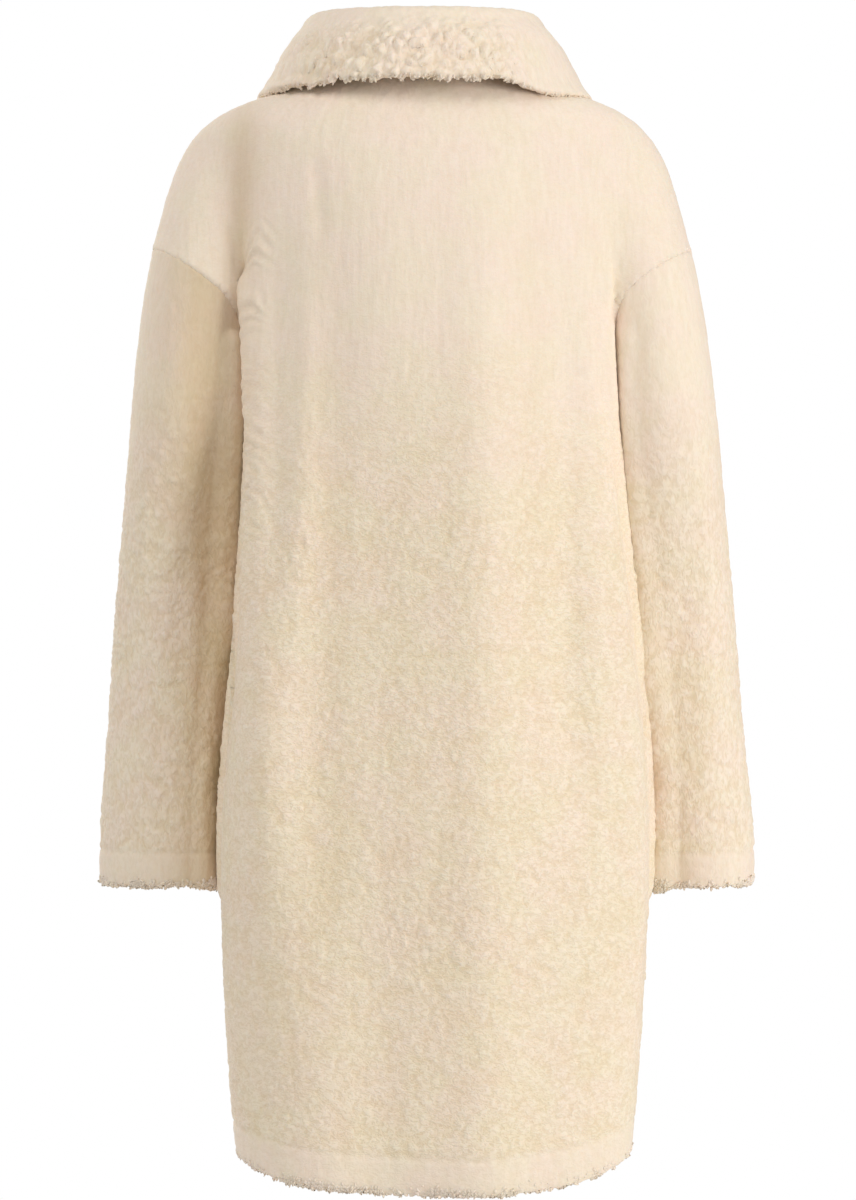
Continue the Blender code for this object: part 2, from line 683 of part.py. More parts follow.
# ---------------------------------------------------------------- buttons
def button(name, z, material):
    """A round button with a raised rim, set on the right front where the two fronts lap."""
    step = lap_step(-1)

    def front_place(x, z):
        normal = body_normal(-1, x, z)
        lapped = Vector((0, -step(x, z), 0))
        return body_point(-1, x, z) + normal * fold_height(FRONT_FOLDS, x, z) + lapped

    x = TORSO_MIDDLE(z)
    reach = BUTTON_RADIUS
    across = front_place(x + reach, z) - front_place(x - reach, z)
    upward = front_place(x, z + reach) - front_place(x, z - reach)
    normal = across.cross(upward).normalized()
    base = front_place(x, z)
    build = bmesh.new()
    rings = []
    for radius, height in BUTTON_PROFILE:
        ring = []
        for index in range(BUTTON_SIDES):
            turn = 2 * math.pi * index / BUTTON_SIDES
            rim = Vector((math.cos(turn), math.sin(turn), 0)) * radius * BUTTON_RADIUS
            ring.append(build.verts.new(rim + Vector((0, 0, height * BUTTON_THICKNESS))))
        rings.append(ring)
    for low, high in zip(rings, rings[1:]):
        for index in range(BUTTON_SIDES):
            after = (index + 1) % BUTTON_SIDES
            build.faces.new((low[index], low[after], high[after], high[index]))
    build.faces.new(list(reversed(rings[0])))
    build.faces.new(rings[-1])
    bmesh.ops.recalc_face_normals(build, faces=build.faces)
    bmesh.ops.triangulate(build, faces=build.faces)
    mesh = bpy.data.meshes.new(name)
    build.to_mesh(mesh)
    build.free()
    piece = add_object(name, mesh, material)
    turn = normal.to_track_quat("Z", "Y").to_matrix().to_4x4()
    piece.matrix_world = Matrix.Translation(base + normal * BUTTON_GAP) @ turn
    return piece


def main():
    for old in list(bpy.data.objects):
        bpy.data.objects.remove(old, do_unlink=True)
    fleece = add_material("fleece", FLEECE, 0.95)
    horn = add_material("horn", HORN, 0.45)
    back_panel(fleece)
    front_panel("front_left", 1, fleece)
    front_panel("front_right", -1, fleece)
    sleeve("sleeve_left", 1, fleece)
    sleeve("sleeve_right", -1, fleece)
    collar(fleece)
    for number, z in enumerate(BUTTON_HEIGHTS, start=1):
        button(f"button_{number}", z, horn)


main()
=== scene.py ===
"""Looks of a knee-length teddy-fleece coat, filled out with no wearer and seen from behind.

Each cloth piece becomes a fine wall on its solid's form: curly pile outside and round the edges, and a
plain knit inside. Loose locks stand along the hem, the cuffs and the collar, and the buttons are turned horn.
"""
import math
from collections import namedtuple
from itertools import product

import bmesh
import bpy
import numpy as np
from mathutils import Matrix, Vector
from mathutils.bvhtree import BVHTree
from mathutils.kdtree import KDTree


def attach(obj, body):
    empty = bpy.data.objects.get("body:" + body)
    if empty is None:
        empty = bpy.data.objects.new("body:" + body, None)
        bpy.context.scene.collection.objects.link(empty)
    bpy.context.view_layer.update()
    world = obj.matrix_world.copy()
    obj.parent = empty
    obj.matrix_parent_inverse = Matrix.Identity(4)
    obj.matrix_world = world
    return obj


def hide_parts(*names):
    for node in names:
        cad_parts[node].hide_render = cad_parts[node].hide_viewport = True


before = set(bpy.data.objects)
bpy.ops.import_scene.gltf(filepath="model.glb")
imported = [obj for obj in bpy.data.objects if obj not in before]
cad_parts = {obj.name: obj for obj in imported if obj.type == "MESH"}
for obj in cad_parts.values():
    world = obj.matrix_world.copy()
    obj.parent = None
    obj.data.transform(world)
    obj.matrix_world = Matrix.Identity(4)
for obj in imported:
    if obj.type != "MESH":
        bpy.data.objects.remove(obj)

bl_info = {
    "name": "Teddy-fleece coat",
    "version": (1, 0, 0),
    "blender": (4, 5, 0),
    "location": "3D View > Sidebar > Coat",
    "description": "Builds the fleece, buttons and studio of a teddy-fleece coat",
    "category": "Object",
}

# ---------------------------------------------------------------- driving sizes, in metres
CAMERA_DISTANCE = 2.6
CAMERA_HEIGHT = -0.4725
VIEW_HEIGHT = 1.080
SENSOR = 36.0
FLOOR_HEIGHT = -1.41
FLOOR_RADIUS = 1.85
FLOOR_FADE = 1.1

SHARP_EDGE = math.radians(50)
MERGE = 0.00001
RIM_CREASE = 0.85
EDGE_WRAP = 0.008
COARSE_INSIDE = 0.03

# The cuffs, the hem that rises towards the sides, and the stitching above them. Its thread presses a
# wandering line into the pile, and the band below it is curled less.
CUFF = -0.731
HEM = -0.981
HEM_LIFT = 0.020
HEM_REACH = 0.185
HEM_POWER = 2.5
STITCH_UP = 0.031
STITCH_WIDTH = 0.0022
STITCH_DEPTH = 0.0012
STITCH_WANDER = 0.0012
STITCH_WANDER_SIZE = 0.02
BAND_FADE = 0.004
BAND_FLATNESS = 0.6

# Between these heights the pile changes from brushed smooth above to curled below. The change wavers, and
# even the smoothest pile is curled a little.
BRUSHED_ABOVE = -0.20
CURLED_BELOW = -0.46
CURL_WAVER = 0.04
LEAST_CURL = 0.25

# The collar is curled low down on its middle.
COLLAR_CURL_HEIGHTS = (0.040, 0.010)
COLLAR_CURL_WAVER = 0.008
COLLAR_CURL_MIDDLE = 0.022
COLLAR_CURL_SIDES = (0.140, 0.060)
COLLAR_LEAST_CURL = 0.12

# The pile's relief. Clumps and the furrows that wind between them are sized by the piece's clump size,
# and streaks run down the brushed pile. The levels are what lies even with the cloth's wall.
CLUMP_BEND = 0.55
CLUMP_BEND_SIZE = 1.6
CLUMP_STRETCH = (1.0, 1.0, 0.72)
CLUMP_EDGE = 0.45
CLUMP_FOOT = 0.35
CLUMP_LEVEL = 0.55
FURROW_SIZE = 2.4
FURROW_BEND = 0.8
FURROW_BEND_SIZE = 1.3
FURROW_WIDTH = 0.40
FURROW_LEVEL = 0.7
BODY_WINDING = 0.45
SLEEVE_WINDING = 0.9
PATCH_SIZE = 0.07
PATCH_DEPTH = 0.85
PATCH_CHANGE = 0.35
STREAK_STRETCH = (1.0, 1.0, 0.13)
STREAK_SIZE = 0.005
STREAK_DEPTH = 0.0004
RISE_FADE = 0.012

# Painted shade in the pile's colour: how high brushed pile counts, the clumps' part in that height, and how
# far the troughs of creases are darkened.
BRUSHED_CROWN = 0.75
CLUMP_CROWN = 0.6
CREASE_SHADE = 38.0

# A soft crease or ridge on the back (face 1) or the front (face -1): its top and bottom ends, half its
# width and how far it stands out. It fades over a share of its length at each end, and where the cloth
# turns away from its face.
Crease = namedtuple("Crease", "face x_top z_top x_bottom z_bottom half_width depth")
CREASE_ENDS = 0.3
CREASE_FACING = (0.1, 0.5)
BODY_CREASES = (
    Crease(1, 0.142, -0.040, 0.141, -0.800, 0.026, 0.0125),
    Crease(1, 0.150, -0.080, 0.154, -0.560, 0.010, 0.0030),
    Crease(1, 0.095, -0.060, 0.091, -0.900, 0.030, -0.0065),
    Crease(1, 0.026, -0.040, 0.020, -1.200, 0.038, 0.0058),
    Crease(1, -0.090, -0.060, -0.094, -0.640, 0.024, -0.0060),
    Crease(1, -0.140, -0.060, -0.145, -0.660, 0.024, 0.0065),
    Crease(1, -0.176, -0.200, -0.182, -0.950, 0.014, 0.0040),
    Crease(1, 0.098, -0.075, 0.092, -0.170, 0.006, -0.0018),
    Crease(1, 0.175, -0.135, 0.168, -0.195, 0.005, -0.0016),
    Crease(1, -0.121, -0.276, -0.138, -0.279, 0.004, -0.0016),
    Crease(-1, 0.120, -0.110, 0.136, -0.540, 0.012, 0.0024),
    Crease(-1, 0.150, -0.160, 0.152, -0.430, 0.009, -0.0030),
    Crease(-1, -0.112, -0.130, -0.128, -0.470, 0.011, 0.0026),
    Crease(-1, -0.144, -0.180, -0.150, -0.390, 0.008, -0.0024),
    Crease(-1, 0.052, -0.560, 0.060, -0.900, 0.016, 0.0022),
    Crease(-1, -0.070, -0.600, -0.064, -0.940, 0.014, -0.0020),
)
SLEEVE_CREASES = (
    Crease(1, 0.188, -0.120, 0.196, -0.980, 0.018, -0.0060),
    Crease(1, -0.192, -0.200, -0.196, -0.920, 0.022, 0.0085),
    Crease(1, -0.214, -0.480, -0.216, -0.800, 0.011, -0.0016),
    Crease(1, 0.214, -0.330, 0.226, -0.620, 0.010, -0.0024),
    Crease(1, 0.243, -0.300, 0.262, -0.520, 0.009, 0.0018),
    Crease(1, -0.226, -0.430, -0.236, -0.640, 0.010, -0.0020),
    Crease(1, -0.243, -0.330, -0.262, -0.600, 0.010, 0.0018),
    Crease(-1, 0.220, -0.360, 0.236, -0.560, 0.009, -0.0022),
    Crease(-1, -0.226, -0.410, -0.240, -0.650, 0.010, -0.0024),
)

# Painted shade in the hollows between the left sleeve and the back: the pile's colour is made warmer and
# darker there. The last number is how far it is darkened, from 0 to 1.
HOLLOW_SHADES = {
    "back": (Crease(1, 0.162, 0.020, 0.164, -0.420, 0.0155, 0.8),),
    "sleeve_left": (
        Crease(1, 0.186, 0.100, 0.195, -1.150, 0.022, 1.0),
        Crease(1, 0.210, 0.000, 0.216, -0.520, 0.030, 0.55),
    ),
}

# The locks that lean to both sides of the back's left ridge, as in a herringbone.
RIDGE_TOP = (0.143, -0.110)
RIDGE_BOTTOM = (0.150, -0.480)
RIDGE_HALF_WIDTH = 0.011
RIDGE_SPACING = 0.0140
RIDGE_DEPTH = 0.0017

# The collar's fall hangs lower towards the shoulders, and its sides lie closer to the neck, as far as a
# pile moves. The fall starts where its ring stands out of the stand's oval.
STAND_OVAL = (0.112, 0.062)
FALL_START, FALL_WHOLE = 1.05, 1.45
FALL_HEIGHTS = (0.035, -0.005)
FALL_BACK = (-0.055, 0.0)
FALL_MIDDLE = 0.005
FALL_SIDES = (0.065, 0.120)
FLARE_HEIGHTS = (0.0, -0.02)
FLARE_SIDES = (-0.09, -0.13)
TUCK_SIDES = (0.09, 0.12)
FALL_DROP_MIDDLE = 0.003
FALL_DROP_LEFT = 0.013
FALL_DROP_RIGHT = 0.019
FALL_FLARE_RIGHT = 0.007
SIDE_TUCK = 0.0025
TUCK_HEIGHT = 0.004
TUCK_HALF = 0.016

# Pieces whose pile meets over a seam or a narrow gap.
NEIGHBOURS = {
    "back": ("front_left", "front_right", "sleeve_left", "sleeve_right"),
    "front_left": ("back", "sleeve_left"),
    "front_right": ("back", "sleeve_right"),
    "sleeve_left": ("back", "front_left"),
    "sleeve_right": ("back", "front_right"),
    "collar": (),
}
MEETING_REACH = 0.034
MEETING_WHOLE = 0.020
MEETING_SHARE = 0.62
MEETING_ROUNDS = 14
MEETING_OVERLAP = 0.0010
SEAM_REACH = 0.0065
SEAM_SWELL = 0.0016

# Loose locks: how many a piece has, their length, half thickness and stray, and the seed of their places.
Tufts = namedtuple("Tufts", "count length radius stray seed")
TUFTS = {
    "back": Tufts(1300, 0.0036, 0.0016, 0.40, 20),
    "front_left": Tufts(800, 0.0036, 0.0016, 0.40, 21),
    "front_right": Tufts(800, 0.0036, 0.0016, 0.40, 22),
    "sleeve_left": Tufts(1300, 0.0042, 0.0017, 0.40, 30),
    "sleeve_right": Tufts(1300, 0.0042, 0.0017, 0.40, 31),
    "collar": Tufts(2300, 0.0036, 0.0013, 0.28, 40),
}

# A lock's rings from its root to its tip: the share of its length, its width and how high it counts for the
# painted shade, darker towards the root.
LOCK_RINGS = ((0.0, 0.85, 0.70), (0.35, 1.0, 0.80), (0.72, 0.90, 0.90), (1.0, 0.45, 1.00))
LOCK_SIDES = 4
LOCK_ROOT = 0.0008
LOCK_PRESS = 0.85
LOCK_LENGTHS = (0.65, 1.25)
LOCK_WIDTHS = (0.75, 1.25)
LOCK_BOW = 0.06

# A flat cut: its width, length and area.
Cut = namedtuple("Cut", "width length area")
BODY = ("back", "front_left", "front_right")
SLEEVES = ("sleeve_left", "sleeve_right")
BUTTONS = ("button_1", "button_2", "button_3")

# A button's outline from its back to its dished front, in shares of its radius and its thickness.
BUTTON_PROFILE = (
    (0.60, 0.04), (0.90, 0.06), (0.99, 0.22), (1.00, 0.45), (0.99, 0.72), (0.95, 0.92),
    (0.88, 1.00), (0.80, 0.95), (0.74, 0.80), (0.66, 0.68), (0.40, 0.62),
)
BUTTON_SIDES = 56
HOLE_OFFSET = 0.0021
HOLE_RADIUS = 0.0010
THREAD_RADIUS = 0.00045
THREAD_SPREAD = 1.5

# Square lamps that aim at the coat's middle: the key from the picture's right, and two that fill.
Lamp = namedtuple("Lamp", "name place size power")
LAMPS = (
    Lamp("key", (-3.0, 1.75, -0.1), 1.6, 67.0),
    Lamp("soft_fill", (1.8, 2.1, 2.1), 2.0, 49.0),
    Lamp("front_fill", (1.6, -2.4, 0.6), 1.8, 30.0),
)
LAMP_COLOUR = (1.0, 0.975, 0.93)


# ---------------------------------------------------------------- noise
def hashed(cells, seed):
    """Three numbers from 0 to 1 that belong to each whole-numbered cell."""
    whole = cells.astype(np.int64).astype(np.uint64)
    key = whole[:, 0] * np.uint64(73856093)
    key ^= whole[:, 1] * np.uint64(19349663)
    key ^= whole[:, 2] * np.uint64(83492791)
    key += np.uint64(seed * 2654435761)
    numbers = []
    for _ in range(3):
        key = (key ^ (key >> np.uint64(31))) * np.uint64(0x9E3779B97F4A7C15)
        key ^= key >> np.uint64(29)
        numbers.append((key >> np.uint64(40)).astype(float) / 2.0 ** 24)
    return np.stack(numbers, axis=1)


def eased(start, end, at):
    """0 before start, 1 after end, and a smooth step between."""
    share = np.clip((at - start) / (end - start), 0.0, 1.0)
    return share * share * (3 - 2 * share)


def soft_noise(points, size, seed):
    """Three smooth random numbers from -1 to 1 at each point, with bumps about size wide."""
    scaled = points / size
    base = np.floor(scaled)
    part = scaled - base
    part = part * part * (3 - 2 * part)
    total = np.zeros_like(points)
    for corner in product((0, 1), repeat=3):
        share = np.prod(np.where(corner, part, 1 - part), axis=1)
        total += share[:, None] * hashed(base + corner, seed)
    return 2 * total - 1


def clumps(points, size, seed):
    """0 in the creases between clumps of pile and 1 on their crowns, at each point."""
    scaled = points / size
    base = np.floor(scaled)
    nearest = np.full(len(points), np.inf)
    second = np.full(len(points), np.inf)
    for offset in product((-1, 0, 1), repeat=3):
        cell = base + offset
        distance = np.linalg.norm(scaled - cell - hashed(cell, seed), axis=1)
        second = np.minimum(second, np.maximum(nearest, distance))
        nearest = np.minimum(nearest, distance)
    edge = eased(0.0, CLUMP_EDGE, second - nearest)
    dome = np.clip(1 - nearest * nearest, 0, 1)
    return edge * (CLUMP_FOOT + (1 - CLUMP_FOOT) * dome)


def furrows(points, size, seed):
    """0 in thin winding furrows and 1 on the curls between them, at each point."""
    bent = points + FURROW_BEND * size * soft_noise(points, FURROW_BEND_SIZE * size, seed)
    return eased(0.0, FURROW_WIDTH, np.abs(soft_noise(bent, size, seed + 1)[:, 0]))


# ---------------------------------------------------------------- cloth walls
def coordinates(mesh, what="vertices", field="co"):
    items = getattr(mesh, what)
    values = np.empty(len(items) * 3)
    items.foreach_get(field, values)
    return values.reshape(-1, 3)


def cad_skins(node):
    """The node's mesh with its vertices joined, and for each face whether it is on the outer skin, the
    inner skin or the narrow edge between them."""
    build = bmesh.new()
    build.from_mesh(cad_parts[node].data)
    bmesh.ops.remove_doubles(build, verts=build.verts, dist=MERGE)
    build.faces.ensure_lookup_table()
    regions = np.full(len(build.faces), -1)
    areas = []
    for start in build.faces:
        if regions[start.index] >= 0:
            continue
        number = len(areas)
        areas.append(0.0)
        regions[start.index] = number
        waiting = [start]
        while waiting:
            face = waiting.pop()
            areas[number] += face.calc_area()
            for edge in face.edges:
                if edge.calc_face_angle(math.pi) > SHARP_EDGE:
                    continue
                for other in edge.link_faces:
                    if regions[other.index] < 0:
                        regions[other.index] = number
                        waiting.append(other)
    outer, inner = np.argsort(areas)[::-1][:2]
    kinds = np.where(regions == outer, "outer", np.where(regions == inner, "inner", "edge"))
    tree = BVHTree.FromBMesh(build)
    return build, kinds, tree


def fine_wall(name, build, grain):
    """A rounded wall of even small quads on the form of a coarse one, with its rims kept in place."""
    bmesh.ops.join_triangles(
        build, faces=build.faces,
        angle_face_threshold=math.radians(35), angle_shape_threshold=math.radians(80),
    )
    crease = build.edges.layers.float.new("crease_edge")
    for edge in build.edges:
        if edge.calc_face_angle(0) > SHARP_EDGE:
            edge[crease] = RIM_CREASE
    mesh = bpy.data.meshes.new(name)
    build.to_mesh(mesh)
    build.free()
    rough = bpy.data.objects.new(name, mesh)
    bpy.context.scene.collection.objects.link(rough)
    rounding = rough.modifiers.new("rounding", "SUBSURF")
    rounding.levels = 2
    rounding.render_levels = 2
    even = rough.modifiers.new("even", "REMESH")
    even.mode = "VOXEL"
    even.voxel_size = grain
    fine = bpy.data.meshes.new_from_object(rough.evaluated_get(bpy.context.evaluated_depsgraph_get()))
    bpy.data.objects.remove(rough)
    bpy.data.meshes.remove(mesh)
    fine.name = name
    return fine


def pile_shares(mesh, kinds, tree):
    """How much pile each vertex carries: all on the outer skin and the edges, fading out just inside."""
    points = coordinates(mesh)
    kind = kinds[[tree.find_nearest(point)[2] for point in points]]
    rims = np.flatnonzero(kind == "edge")
    shares = np.ones(len(points))
    if len(rims) == 0:
        return shares
    rim_tree = KDTree(len(rims))
    for number, index in enumerate(rims):
        rim_tree.insert(points[index], number)
    rim_tree.balance()
    for index in np.flatnonzero(kind == "inner"):
        shares[index] = 1 - eased(0.0, EDGE_WRAP, rim_tree.find(points[index])[2])
    return shares


def thin_inside(piece, shares):
    """Makes the plain inside coarse, and leaves the pile's side as fine as it is."""
    inside = np.flatnonzero(shares == 0).tolist()
    group = piece.vertex_groups.new(name="inside")
    group.add(inside, 1.0, "REPLACE")
    fewer = piece.modifiers.new("fewer", "DECIMATE")
    fewer.ratio = 1 - len(inside) / len(shares) * (1 - COARSE_INSIDE)
    fewer.vertex_group = group.name
    mesh = bpy.data.meshes.new_from_object(piece.evaluated_get(bpy.context.evaluated_depsgraph_get()))
    piece.modifiers.clear()
    old = piece.data
    piece.data = mesh
    bpy.data.meshes.remove(old)


# ---------------------------------------------------------------- pile
def crease_heights(points, normals, creases):
    total = np.zeros(len(points))
    for crease in creases:
        start = np.array((crease.x_top, crease.z_top))
        along = np.array((crease.x_bottom, crease.z_bottom)) - start
        length = np.linalg.norm(along)
        along = along / length
        flat = points[:, (0, 2)] - start
        down = flat @ along
        across = flat[:, 0] * along[1] - flat[:, 1] * along[0]
        share = eased(0, CREASE_ENDS * length, down)
        share *= 1 - eased((1 - CREASE_ENDS) * length, length, down)
        facing = eased(*CREASE_FACING, crease.face * normals[:, 1])
        total += crease.depth * np.exp(-(across / crease.half_width) ** 2) * share * facing
    return total


def ridge_locks(points, normals):
    """Waves that lean down to both sides of the ridge on the back."""
    start = np.array(RIDGE_TOP)
    along = np.array(RIDGE_BOTTOM) - start
    length = np.linalg.norm(along)
    along = along / length
    flat = points[:, (0, 2)] - start
    down = flat @ along
    across = np.abs(flat[:, 0] * along[1] - flat[:, 1] * along[0])
    wander = soft_noise(points, 0.024, 11)
    phase = (down - 1.1 * across + 0.014 * wander[:, 0]) / RIDGE_SPACING
    wave = np.cos(2 * math.pi * phase) * np.clip(0.6 + 0.9 * wander[:, 1], 0, 1.4)
    near = np.exp(-(across / RIDGE_HALF_WIDTH) ** 2)
    share = eased(0, 0.04, down) * (1 - eased(length - 0.08, length, down)) * eased(0.2, 0.6, normals[:, 1])
    return RIDGE_DEPTH * wave * near * share


def edge_levels(points, node):
    """The height of the hem or the cuff under each point."""
    if node in SLEEVES:
        return np.full(len(points), CUFF)
    return HEM + HEM_LIFT * np.minimum(np.abs(points[:, 0]) / HEM_REACH, 1) ** HEM_POWER


def meeting_rise(points, normals, shares, node):
    """How much further the pile grows where another piece is close in front of it, so that they meet."""
    extra = np.zeros(len(points))
    for neighbour in NEIGHBOURS[node]:
        build = bmesh.new()
        build.from_mesh(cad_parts[neighbour].data)
        tree = BVHTree.FromBMesh(build)
        build.free()
        for index in np.flatnonzero(shares > 0.5):
            place, _, _, distance = tree.find_nearest(points[index], MEETING_REACH)
            if place is None:
                continue
            towards = np.array(place) - points[index]
            facing = 1.0 if distance < MEETING_OVERLAP else max(towards @ normals[index] / distance, 0.0)
            wanted = (MEETING_SHARE * distance + MEETING_OVERLAP) * facing
            wanted *= eased(MEETING_REACH, MEETING_WHOLE, distance)
            swell = SEAM_SWELL * max(1 - distance / SEAM_REACH, 0.0)
            extra[index] = max(extra[index], wanted + swell)
    return extra


def evened(mesh, values, rounds):
    """Spreads the values over the mesh a little, so that they change with no step."""
    ends = np.empty(len(mesh.edges) * 2, dtype=np.int64)
    mesh.edges.foreach_get("vertices", ends)
    first, second = ends[::2], ends[1::2]
    count = np.maximum(np.bincount(ends, minlength=len(values)), 1)
    for _ in range(rounds):
        total = np.bincount(first, values[second], len(values))
        total += np.bincount(second, values[first], len(values))
        values = (values + total / count) / 2
    return values


def settle_collar(points):
    """Lets the collar's fall hang down towards the shoulders, and tucks its sides in."""
    outwards = np.hypot(points[:, 0] / STAND_OVAL[0], points[:, 1] / STAND_OVAL[1])
    behind = eased(*FALL_BACK, points[:, 1])
    fall = eased(FALL_START, FALL_WHOLE, outwards) * eased(*FALL_HEIGHTS, points[:, 2]) * behind
    off_middle = np.abs(points[:, 0] - FALL_MIDDLE)
    sides = np.where(points[:, 0] > 0, FALL_DROP_LEFT, FALL_DROP_RIGHT)
    drop = FALL_DROP_MIDDLE + (sides - FALL_DROP_MIDDLE) * eased(*FALL_SIDES, off_middle)
    flare = FALL_FLARE_RIGHT * eased(*FLARE_HEIGHTS, points[:, 2]) * eased(*FLARE_SIDES, points[:, 0])
    near = np.exp(-((points[:, 2] - TUCK_HEIGHT) / TUCK_HALF) ** 2)
    tuck = SIDE_TUCK * near * eased(*TUCK_SIDES, off_middle)
    settled = points.copy()
    settled[:, 2] -= drop * fall
    settled[:, 0] -= np.sign(points[:, 0]) * tuck * behind + flare * fall
    return settled


def curl_of_collar(points, patches):
    """How curled the collar's pile is at each point."""
    waver = COLLAR_CURL_WAVER * patches
    start, whole = COLLAR_CURL_HEIGHTS
    low = eased(start + waver, whole + waver, points[:, 2])
    middle = eased(*COLLAR_CURL_SIDES, np.abs(points[:, 0] - COLLAR_CURL_MIDDLE))
    return COLLAR_LEAST_CURL + (1 - COLLAR_LEAST_CURL) * low * middle


def curl_and_stitching(points, patches, up):
    """How curled the pile of the body or a sleeve is at each point, and how near the stitching is."""
    lower = eased(BRUSHED_ABOVE, CURLED_BELOW, points[:, 2] + CURL_WAVER * patches)
    curled = LEAST_CURL + (1 - LEAST_CURL) * lower
    band = eased(STITCH_UP + BAND_FADE, STITCH_UP - BAND_FADE, up)
    wander = STITCH_WANDER * soft_noise(points, STITCH_WANDER_SIZE, seed=5)[:, 0]
    stitch = np.exp(-((up - STITCH_UP + wander) / STITCH_WIDTH) ** 2)
    return curled * (1 - BAND_FLATNESS * band), stitch


def grow_pile(mesh, shares, node, size, depth, rise, creases):
    """Raises the pile along the normals, and keeps painted shade for the colour: how high each point stands
    in its clump, the troughs of creases and the hollows.
    """
    points = coordinates(mesh)
    normals = coordinates(mesh, "vertex_normals", "vector")
    meeting = evened(mesh, meeting_rise(points, normals, shares, node), MEETING_ROUNDS)
    bent = points + CLUMP_BEND * size * soft_noise(points, CLUMP_BEND_SIZE * size, seed=1)
    fine = clumps(bent * CLUMP_STRETCH, size, seed=2)
    wide = furrows(points, FURROW_SIZE * size, seed=3)
    patches = soft_noise(points, PATCH_SIZE, seed=4)[:, 0]
    streaks = soft_noise(points * STREAK_STRETCH, STREAK_SIZE, seed=6)[:, 0]
    up = points[:, 2] - edge_levels(points, node)
    if node == "collar":
        curled, stitch = curl_of_collar(points, patches), 0.0
    else:
        curled, stitch = curl_and_stitching(points, patches, up)
    winding = SLEEVE_WINDING if node in SLEEVES else BODY_WINDING
    curls = (fine - CLUMP_LEVEL) + winding * (wide - FURROW_LEVEL)
    relief = depth * (PATCH_DEPTH + PATCH_CHANGE * patches) * curls * curled
    relief += STREAK_DEPTH * streaks * (1 - curled) - STITCH_DEPTH * stitch
    folds = crease_heights(points, normals, creases)
    relief += folds
    if node == "back":
        relief += ridge_locks(points, normals)
    relief += np.maximum(rise * eased(0.0, RISE_FADE, up), meeting)
    if node == "collar":
        points = settle_collar(points)
    moved = points + normals * (relief * shares)[:, None]
    mesh.vertices.foreach_set("co", moved.ravel())
    # Painted shade: lower in the gaps between clumps and in the troughs of creases.
    high = CLUMP_CROWN * fine + (1 - CLUMP_CROWN) * wide
    high = BRUSHED_CROWN + (high - BRUSHED_CROWN) * curled + CREASE_SHADE * np.minimum(folds, 0)
    keep_values(mesh, "crown", np.clip(high, 0, 1) * shares)
    keep_values(mesh, "curled", curled)
    # Painted shade in the hollows beside the left sleeve.
    keep_values(mesh, "hollow", crease_heights(points, normals, HOLLOW_SHADES.get(node, ())))
    mesh.shade_smooth()
    mesh.update()


def keep_values(mesh, name, values):
    """Stores one number for each vertex, for the materials."""
    attribute = mesh.attributes.new(name, "FLOAT", "POINT")
    attribute.data.foreach_set("value", values)


def lay_knit(mesh, shares):
    """Gives the faces with no pile the second material, the plain knit."""
    corner_shares = np.empty(len(mesh.loops), dtype=np.int64)
    mesh.loops.foreach_get("vertex_index", corner_shares)
    bare = shares[corner_shares] == 0
    starts = np.empty(len(mesh.polygons), dtype=np.int64)
    mesh.polygons.foreach_get("loop_start", starts)
    mesh.polygons.foreach_set("material_index", np.minimum.reduceat(bare, starts).astype(np.int32))


def fleece_piece(node, grain, size, depth, creases=()):
    looks = bpy.context.scene.coat_looks
    build, kinds, tree = cad_skins(node)
    mesh = fine_wall(f"fleece_{node}", build, grain)
    shares = pile_shares(mesh, kinds, tree)
    piece = bpy.data.objects.new(f"fleece_{node}", mesh)
    bpy.context.scene.collection.objects.link(piece)
    if node == "collar":
        shares[:] = 1
    else:
        thin_inside(piece, shares)
        shares = pile_shares(piece.data, kinds, tree)
    grow_pile(piece.data, shares, node, size, depth, looks.pile_rise, creases)
    lie = "collar" if node == "collar" else "sleeve" if node in SLEEVES else "body"
    piece.data.materials.append(fleece_material(lie))
    piece.data.materials.append(knit_material())
    lay_knit(piece.data, shares)
    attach(piece, "root")
    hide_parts(node)
    return piece


# ---------------------------------------------------------------- loose locks
def chosen_places(mesh, weigh, count, seed):
    """Seeded places on the mesh, more of them where weigh gives more: their points and normals."""
    generator = np.random.default_rng(seed)
    centres = coordinates(mesh, "polygons", "center")
    normals = coordinates(mesh, "polygon_normals", "vector")
    sizes = np.empty(len(mesh.polygons))
    mesh.polygons.foreach_get("area", sizes)
    material = np.empty(len(mesh.polygons), dtype=np.int32)
    mesh.polygons.foreach_get("material_index", material)
    weights = sizes * weigh(centres, normals) * (material == 0)
    picked = generator.choice(len(centres), size=count, p=weights / weights.sum())
    return centres[picked], normals[picked], generator


def unit(vectors):
    return vectors / np.maximum(np.linalg.norm(vectors, axis=1, keepdims=True), 1e-9)


